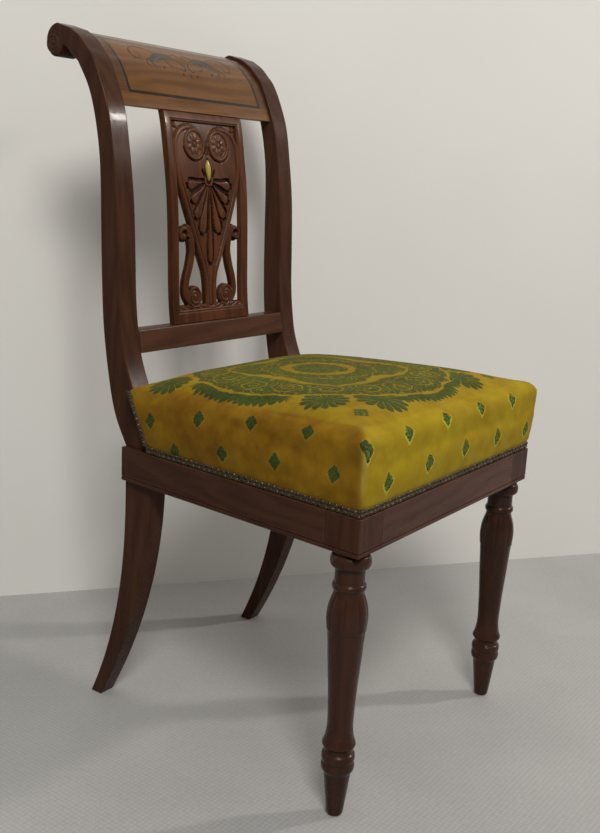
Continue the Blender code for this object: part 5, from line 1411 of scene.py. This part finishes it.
def nail_heads(centres, out, size):
    """Round nail heads: domes on their places, each a small grid of turn and rise about its outward direction."""
    up = np.array([0.0, 0.0, 1.0])
    side = np.cross(up, out)
    side /= np.linalg.norm(side, axis=1)[:, None]
    rise = np.radians([0.0, 32.0, 64.0, 90.0])[:, None]
    turn = np.linspace(0.0, 2 * math.pi, 8, endpoint=False)[None]
    flat_a, flat_b = np.cos(rise) * np.cos(turn), np.cos(rise) * np.sin(turn)
    lift = 0.55 * np.sin(rise) + 0 * turn
    dome = (side[:, None, None] * flat_a[None, ..., None] + up * flat_b[None, ..., None]
            + out[:, None, None] * lift[None, ..., None]) * size[:, None, None, None]
    points = centres[:, None, None] + dome
    rows, columns = flat_a.shape
    starts = np.arange(len(centres)) * rows * columns
    faces = grid_quads(rows, columns, close_columns=True)[None] + starts[:, None, None]
    base = starts[:, None] + np.arange(columns)[::-1]
    return points.reshape(-1, 3), faces.reshape(-1, 4).tolist() + base.tolist()


def make_trimming():
    """Braid along the velvet's lower edge with two staggered rows of nails, and up beside each stile with one."""
    def beside_stile(rise, off):
        y = back_face(RAIL_TOP + rise) - off
        fullness = np.sin(math.pi / 2 * np.clip((rise - 0.014) / 0.048, 0.0, 1.0))
        wall = WALL_FOOT - 0.0012 + (BULGE - WALL_FOOT) * fullness
        return np.stack([side_face(y) + wall, y, RAIL_TOP + rise], -1)

    braid, brass = make_braid_finish(), make_nail_finish()
    sit = TUCK + 0.0004
    corner = side_face(0.0) + sit
    side_end = SEAT_DEPTH - BRAID_CLEAR
    rear_half = STILE_INNER - BRAID_CLEAR
    rear_corner = side_face(side_end) + sit
    runs = {
        "front": ([(-corner, -sit), (corner, -sit)], (0.0, -1.0)),
        "left": ([(-corner, -sit), (-rear_corner, side_end)], (-1.0, -SPLAY)),
        "right": ([(corner, -sit), (rear_corner, side_end)], (1.0, -SPLAY)),
        "rear": ([(-rear_half, SEAT_END + sit), (rear_half, SEAT_END + sit)], (0.0, 1.0)),
    }
    rng = np.random.default_rng(7)
    centres, outs = [], []
    for name, (ends, out) in runs.items():
        ends, out = np.array(ends), np.array(out) / np.hypot(*out)
        add_piece("braid_" + name, *braid_strip(even_steps(ends, 90), out, BRAID_LOW, BRAID_HIGH), braid,
                  "bronze_braid", replaces=("gimp_" + name,), sharp=60.0)
        count = int(np.linalg.norm(ends[1] - ends[0]) / NAIL_PITCH)
        for level, offset in NAIL_ROWS:
            place = (np.arange(count) + offset + rng.uniform(-0.10, 0.10, count)) / count
            flat = ends[0] + (ends[1] - ends[0]) * place[:, None] + out * 0.0008
            up = BRAID_LOW + level + rng.uniform(-0.0004, 0.0004, count)
            centres.append(np.column_stack([flat, up]))
            outs.append(np.broadcast_to([*out, 0.0], (count, 3)))

    up, over = np.meshgrid(np.linspace(0.0105, 0.0775, 40), np.linspace(0.0, 1.0, 9), indexing="ij")
    strip = beside_stile(up, 0.0014 + 0.0068 * over)
    strip[..., 0] += 0.0013 * np.sin(math.pi * over)**0.4
    points = np.concatenate([strip, strip[:, ::-1] - [0.0026, 0.0, 0.0]], axis=1)
    add_pair("braid_by_stile_", points, tube_faces(*points.shape[:2]), braid, "bronze_braid", sharp=60.0)
    nails = beside_stile(np.linspace(0.015, 0.073, 9), 0.0048) + [0.0012, 0.0, 0.0]
    for _, side in SIDES:
        centres.append(nails * [side, 1.0, 1.0])
        outs.append(np.broadcast_to([side, 0.0, 0.0], nails.shape))
    centres, outs = np.concatenate(centres), np.concatenate(outs)
    size = NAIL_SIZE * rng.uniform(0.90, 1.08, len(centres))
    add_piece("brass_nails", *nail_heads(centres, outs, size), brass, "bronze_braid", sharp=60.0)


# ---- underside


def make_jute(name, dark, light, pitch):
    """Coarse woven jute: two crossed threads, with slubs and a few darker ones."""
    material, tree, shader = open_finish(name)
    place = object_place(tree)
    woven = use_group(tree, WEAVE, Vector=place, Pitch=pitch)
    stain = noise(tree, place, 18.0, 4.0)
    share = Field(tree, woven.outputs["Height"]) * 0.6 + Field(tree, woven.outputs["Slub"]) * 0.5 + (stain - 0.5) * 0.5
    fill(tree, shader, Base_Color=blend(tree, (share - 0.1).clamped(), dark, light), Roughness=stain * 0.2 + 0.78)
    bumped(tree, shader, woven.outputs["Height"], 0.9, pitch * 0.5)
    return material


def strap(run, middle, ends, base, crossed, over):
    """A webbing strap along x or y: it passes over and under the straps that it crosses as a cosine of its run."""
    t = np.linspace(*ends, 121)
    half_gap = (crossed[1] - crossed[0]) / 2
    starting, ending = (np.clip(1 + past / half_gap, 0.0, 1.0) for past in (t - crossed[0], crossed[-1] - t))
    z = base + 0.0009 * over * np.cos(math.pi * (t - crossed[0]) / (2 * half_gap)) * starting * ending
    a = np.broadcast_to(t[:, None], (len(t), 4))
    b = np.broadcast_to(middle + STRAP_HALF * np.array([-1.0, -1.0, 1.0, 1.0]), a.shape)
    up = z[:, None] + STRAP_THICKNESS * np.array([0.0, 1.0, 1.0, 0.0])
    return np.stack([b, a, up] if run == "y" else [a, b, up], -1), tube_faces(len(t), 4)


def make_underside():
    """Webbing woven over and under, and the hessian that is stretched on it."""
    jute = make_jute("jute_webbing", (0.120, 0.075, 0.034, 1.0), (0.360, 0.250, 0.130, 1.0), 0.0024)
    hessian = make_jute("hessian_cloth", (0.150, 0.098, 0.048, 1.0), (0.420, 0.305, 0.165, 1.0), 0.0017)
    longs = [(k - 1) * (FRONT_HALF - LEG_BLOCK) / 2 for k in range(3)]
    pitch = (SEAT_DEPTH - RAIL_THICKNESS) / 4
    crosses = [(RAIL_THICKNESS + SEAT_DEPTH) / 2 + (k - 1.5) * pitch for k in range(4)]
    for name, run, middles, crossed in (("long", "y", longs, crosses), ("cross", "x", crosses, longs)):
        for k, middle in enumerate(middles):
            reach = side_face(middle + STRAP_HALF)
            low, high = (0.0, SEAT_END) if run == "y" else (-reach, reach)
            ends = (low + STRAP_SETBACK, high - STRAP_SETBACK)
            shape = strap(run, middle, ends, LIP_TOP + 0.0016, crossed, 1.0 if k % 2 else -1.0)
            add_piece("jute_strap_%s_%d" % (name, k + 1), *shape, jute, "jute_webbing",
                                    replaces=("webbing_%s_%d" % (name, k + 1),))
    s, t = np.meshgrid(np.linspace(-1.0, 1.0, 61), np.linspace(0.0, 1.0, 61))
    y = SHEET_SETBACK + SHEET_DEPTH * t
    x = s * (side_face(y) - SHEET_SETBACK)
    gap = np.cos(math.pi * (x - longs[0]) / (longs[1] - longs[0]))**2 * np.cos(math.pi * (y - crosses[0]) / pitch)**2
    z = LIP_TOP + 0.0040 - 0.0006 * (1 - gap)
    sheet = add_piece("hessian_bed", np.stack([x, y, z], -1), grid_quads(61, 61).tolist(), hessian, "hessian",
                      replaces=("hessian_sheet",), sharp=180.0)
    wall = sheet.modifiers.new("thickness", "SOLIDIFY")
    wall.thickness, wall.offset = 0.0008, 0.0
    front_wide, rear_wide = (2 * (side_face(depth) - SHEET_SETBACK)
                             for depth in (SHEET_SETBACK, SHEET_SETBACK + SHEET_DEPTH))
    (front_wide + rear_wide) / 2 * SHEET_DEPTH


# ---- stage


def make_stage():
    """A pale floor, and a pale wall behind the chair that is seen only from its front."""
    def flat(name, corners, paint):
        mesh = bpy.data.meshes.new(name)
        mesh.from_pydata(corners, [], [(0, 1, 2, 3)])
        material, tree, shader = open_finish(name + "_paint")
        paint(tree, shader, object_place(tree))
        mesh.materials.append(material)
        stage = bpy.data.objects.new(name, mesh)
        bpy.context.scene.collection.objects.link(stage)

    def cement(tree, shader, place):
        ridge_a, ridge_b = (abs((value * 520.0).wave()) for value in parts(tree, place)[:2])
        mottle, speck = noise(tree, place, 5.0, 6.0), noise(tree, place, 160.0, 2.0)
        tone = (mottle * 0.8 + speck * 0.5 + ridge_a * ridge_b * 0.35 - 0.3).clamped()
        fill(tree, shader, Base_Color=blend(tree, tone, (0.30, 0.296, 0.288, 1.0), (0.44, 0.434, 0.424, 1.0)),
             Roughness=0.55, Specular_IOR_Level=0.3)

    def limewash(tree, shader, place):
        mottle = noise(tree, place, 3.0, 4.0)
        fill(tree, shader, Base_Color=blend(tree, mottle, (0.70, 0.69, 0.65, 1.0), (0.76, 0.755, 0.72, 1.0)),
             Roughness=0.9)
        choice = tree.nodes.new("ShaderNodeMixShader")
        behind = tree.nodes.new("ShaderNodeNewGeometry").outputs["Backfacing"]
        clear = tree.nodes.new("ShaderNodeBsdfTransparent").outputs[0]
        for value, entry in zip((behind, shader.outputs[0], clear), choice.inputs):
            feed(tree, value, entry)
        fill(tree, tree.nodes["Material Output"], Surface=choice.outputs[0])

    flat("floor", [(-5, -5, 0), (5, -5, 0), (5, 5, 0), (-5, 5, 0)], cement)
    left, right = (np.array(foot) + [0.0, FRONT_FACE] for foot in WALL_FOOTING)
    run = (right - left) / np.linalg.norm(right - left)
    a, b = left - 2.6 * run, right + 2.0 * run
    flat("wall", [(*a, 0.0), (*b, 0.0), (*b, 2.6), (*a, 2.6)], limewash)


def set_up(name, data, place, axes):
    """Adds a lamp or the camera at a place, with its own right, up and rear axes."""
    thing = bpy.data.objects.new(name, data)
    thing.matrix_world = Matrix([[*(axis[k] for axis in axes), place[k]] for k in range(3)] + [[0.0, 0.0, 0.0, 1.0]])
    bpy.context.scene.collection.objects.link(thing)
    return thing


def make_lights():
    """A broad lamp high at the left, a small warm window at the right, and the ceiling's and the room's own light."""
    for name, place, aim, size, power, colour in LAMPS:
        lamp = bpy.data.lights.new(name, "AREA")
        lamp.shape, lamp.energy, lamp.color = "RECTANGLE", power, colour
        lamp.size, lamp.size_y = size
        way = np.array(aim) - np.array(place)
        way /= np.linalg.norm(way)
        across = np.cross(way, (0.0, 0.0, 1.0))
        across /= np.linalg.norm(across)
        set_up(name, lamp, place, (across, np.cross(across, way), -way))
    world = bpy.data.worlds.new("room")
    world.use_nodes = True
    fill(world.node_tree, world.node_tree.nodes["Background"], Color=(0.80, 0.79, 0.76, 1.0), Strength=0.25)
    bpy.context.scene.world = world


def make_camera():
    """The photograph's viewpoint: turned by yaw, tipped down by pitch, then rolled about its own line of sight."""
    ahead = np.array([-math.sin(YAW) * math.cos(PITCH), math.cos(YAW) * math.cos(PITCH), -math.sin(PITCH)])
    level = np.array([math.cos(YAW), math.sin(YAW), 0.0])
    upright = np.cross(level, ahead)
    right = math.cos(ROLL) * level + math.sin(ROLL) * upright
    up = -math.sin(ROLL) * level + math.cos(ROLL) * upright
    lens = bpy.data.cameras.new("camera")
    lens.lens, lens.sensor_width, lens.clip_start = LENS, 36.0, 0.05
    bpy.context.scene.camera = set_up("camera", lens, np.array(EYE) + [0.0, FRONT_FACE, 0.0], (right, up, -ahead))


for make in (make_camera, make_stage, make_lights, make_stiles, make_scroll_carving, make_crest, make_strings,
             make_marquetry, make_lower_rail, make_splat_frame, make_splat_carving, make_drop, make_front_legs,
             make_seat_rails, dress_pegs, make_seat, make_trimming, make_underside):
    make()

bpy.context.scene.view_settings.view_transform = "Standard"
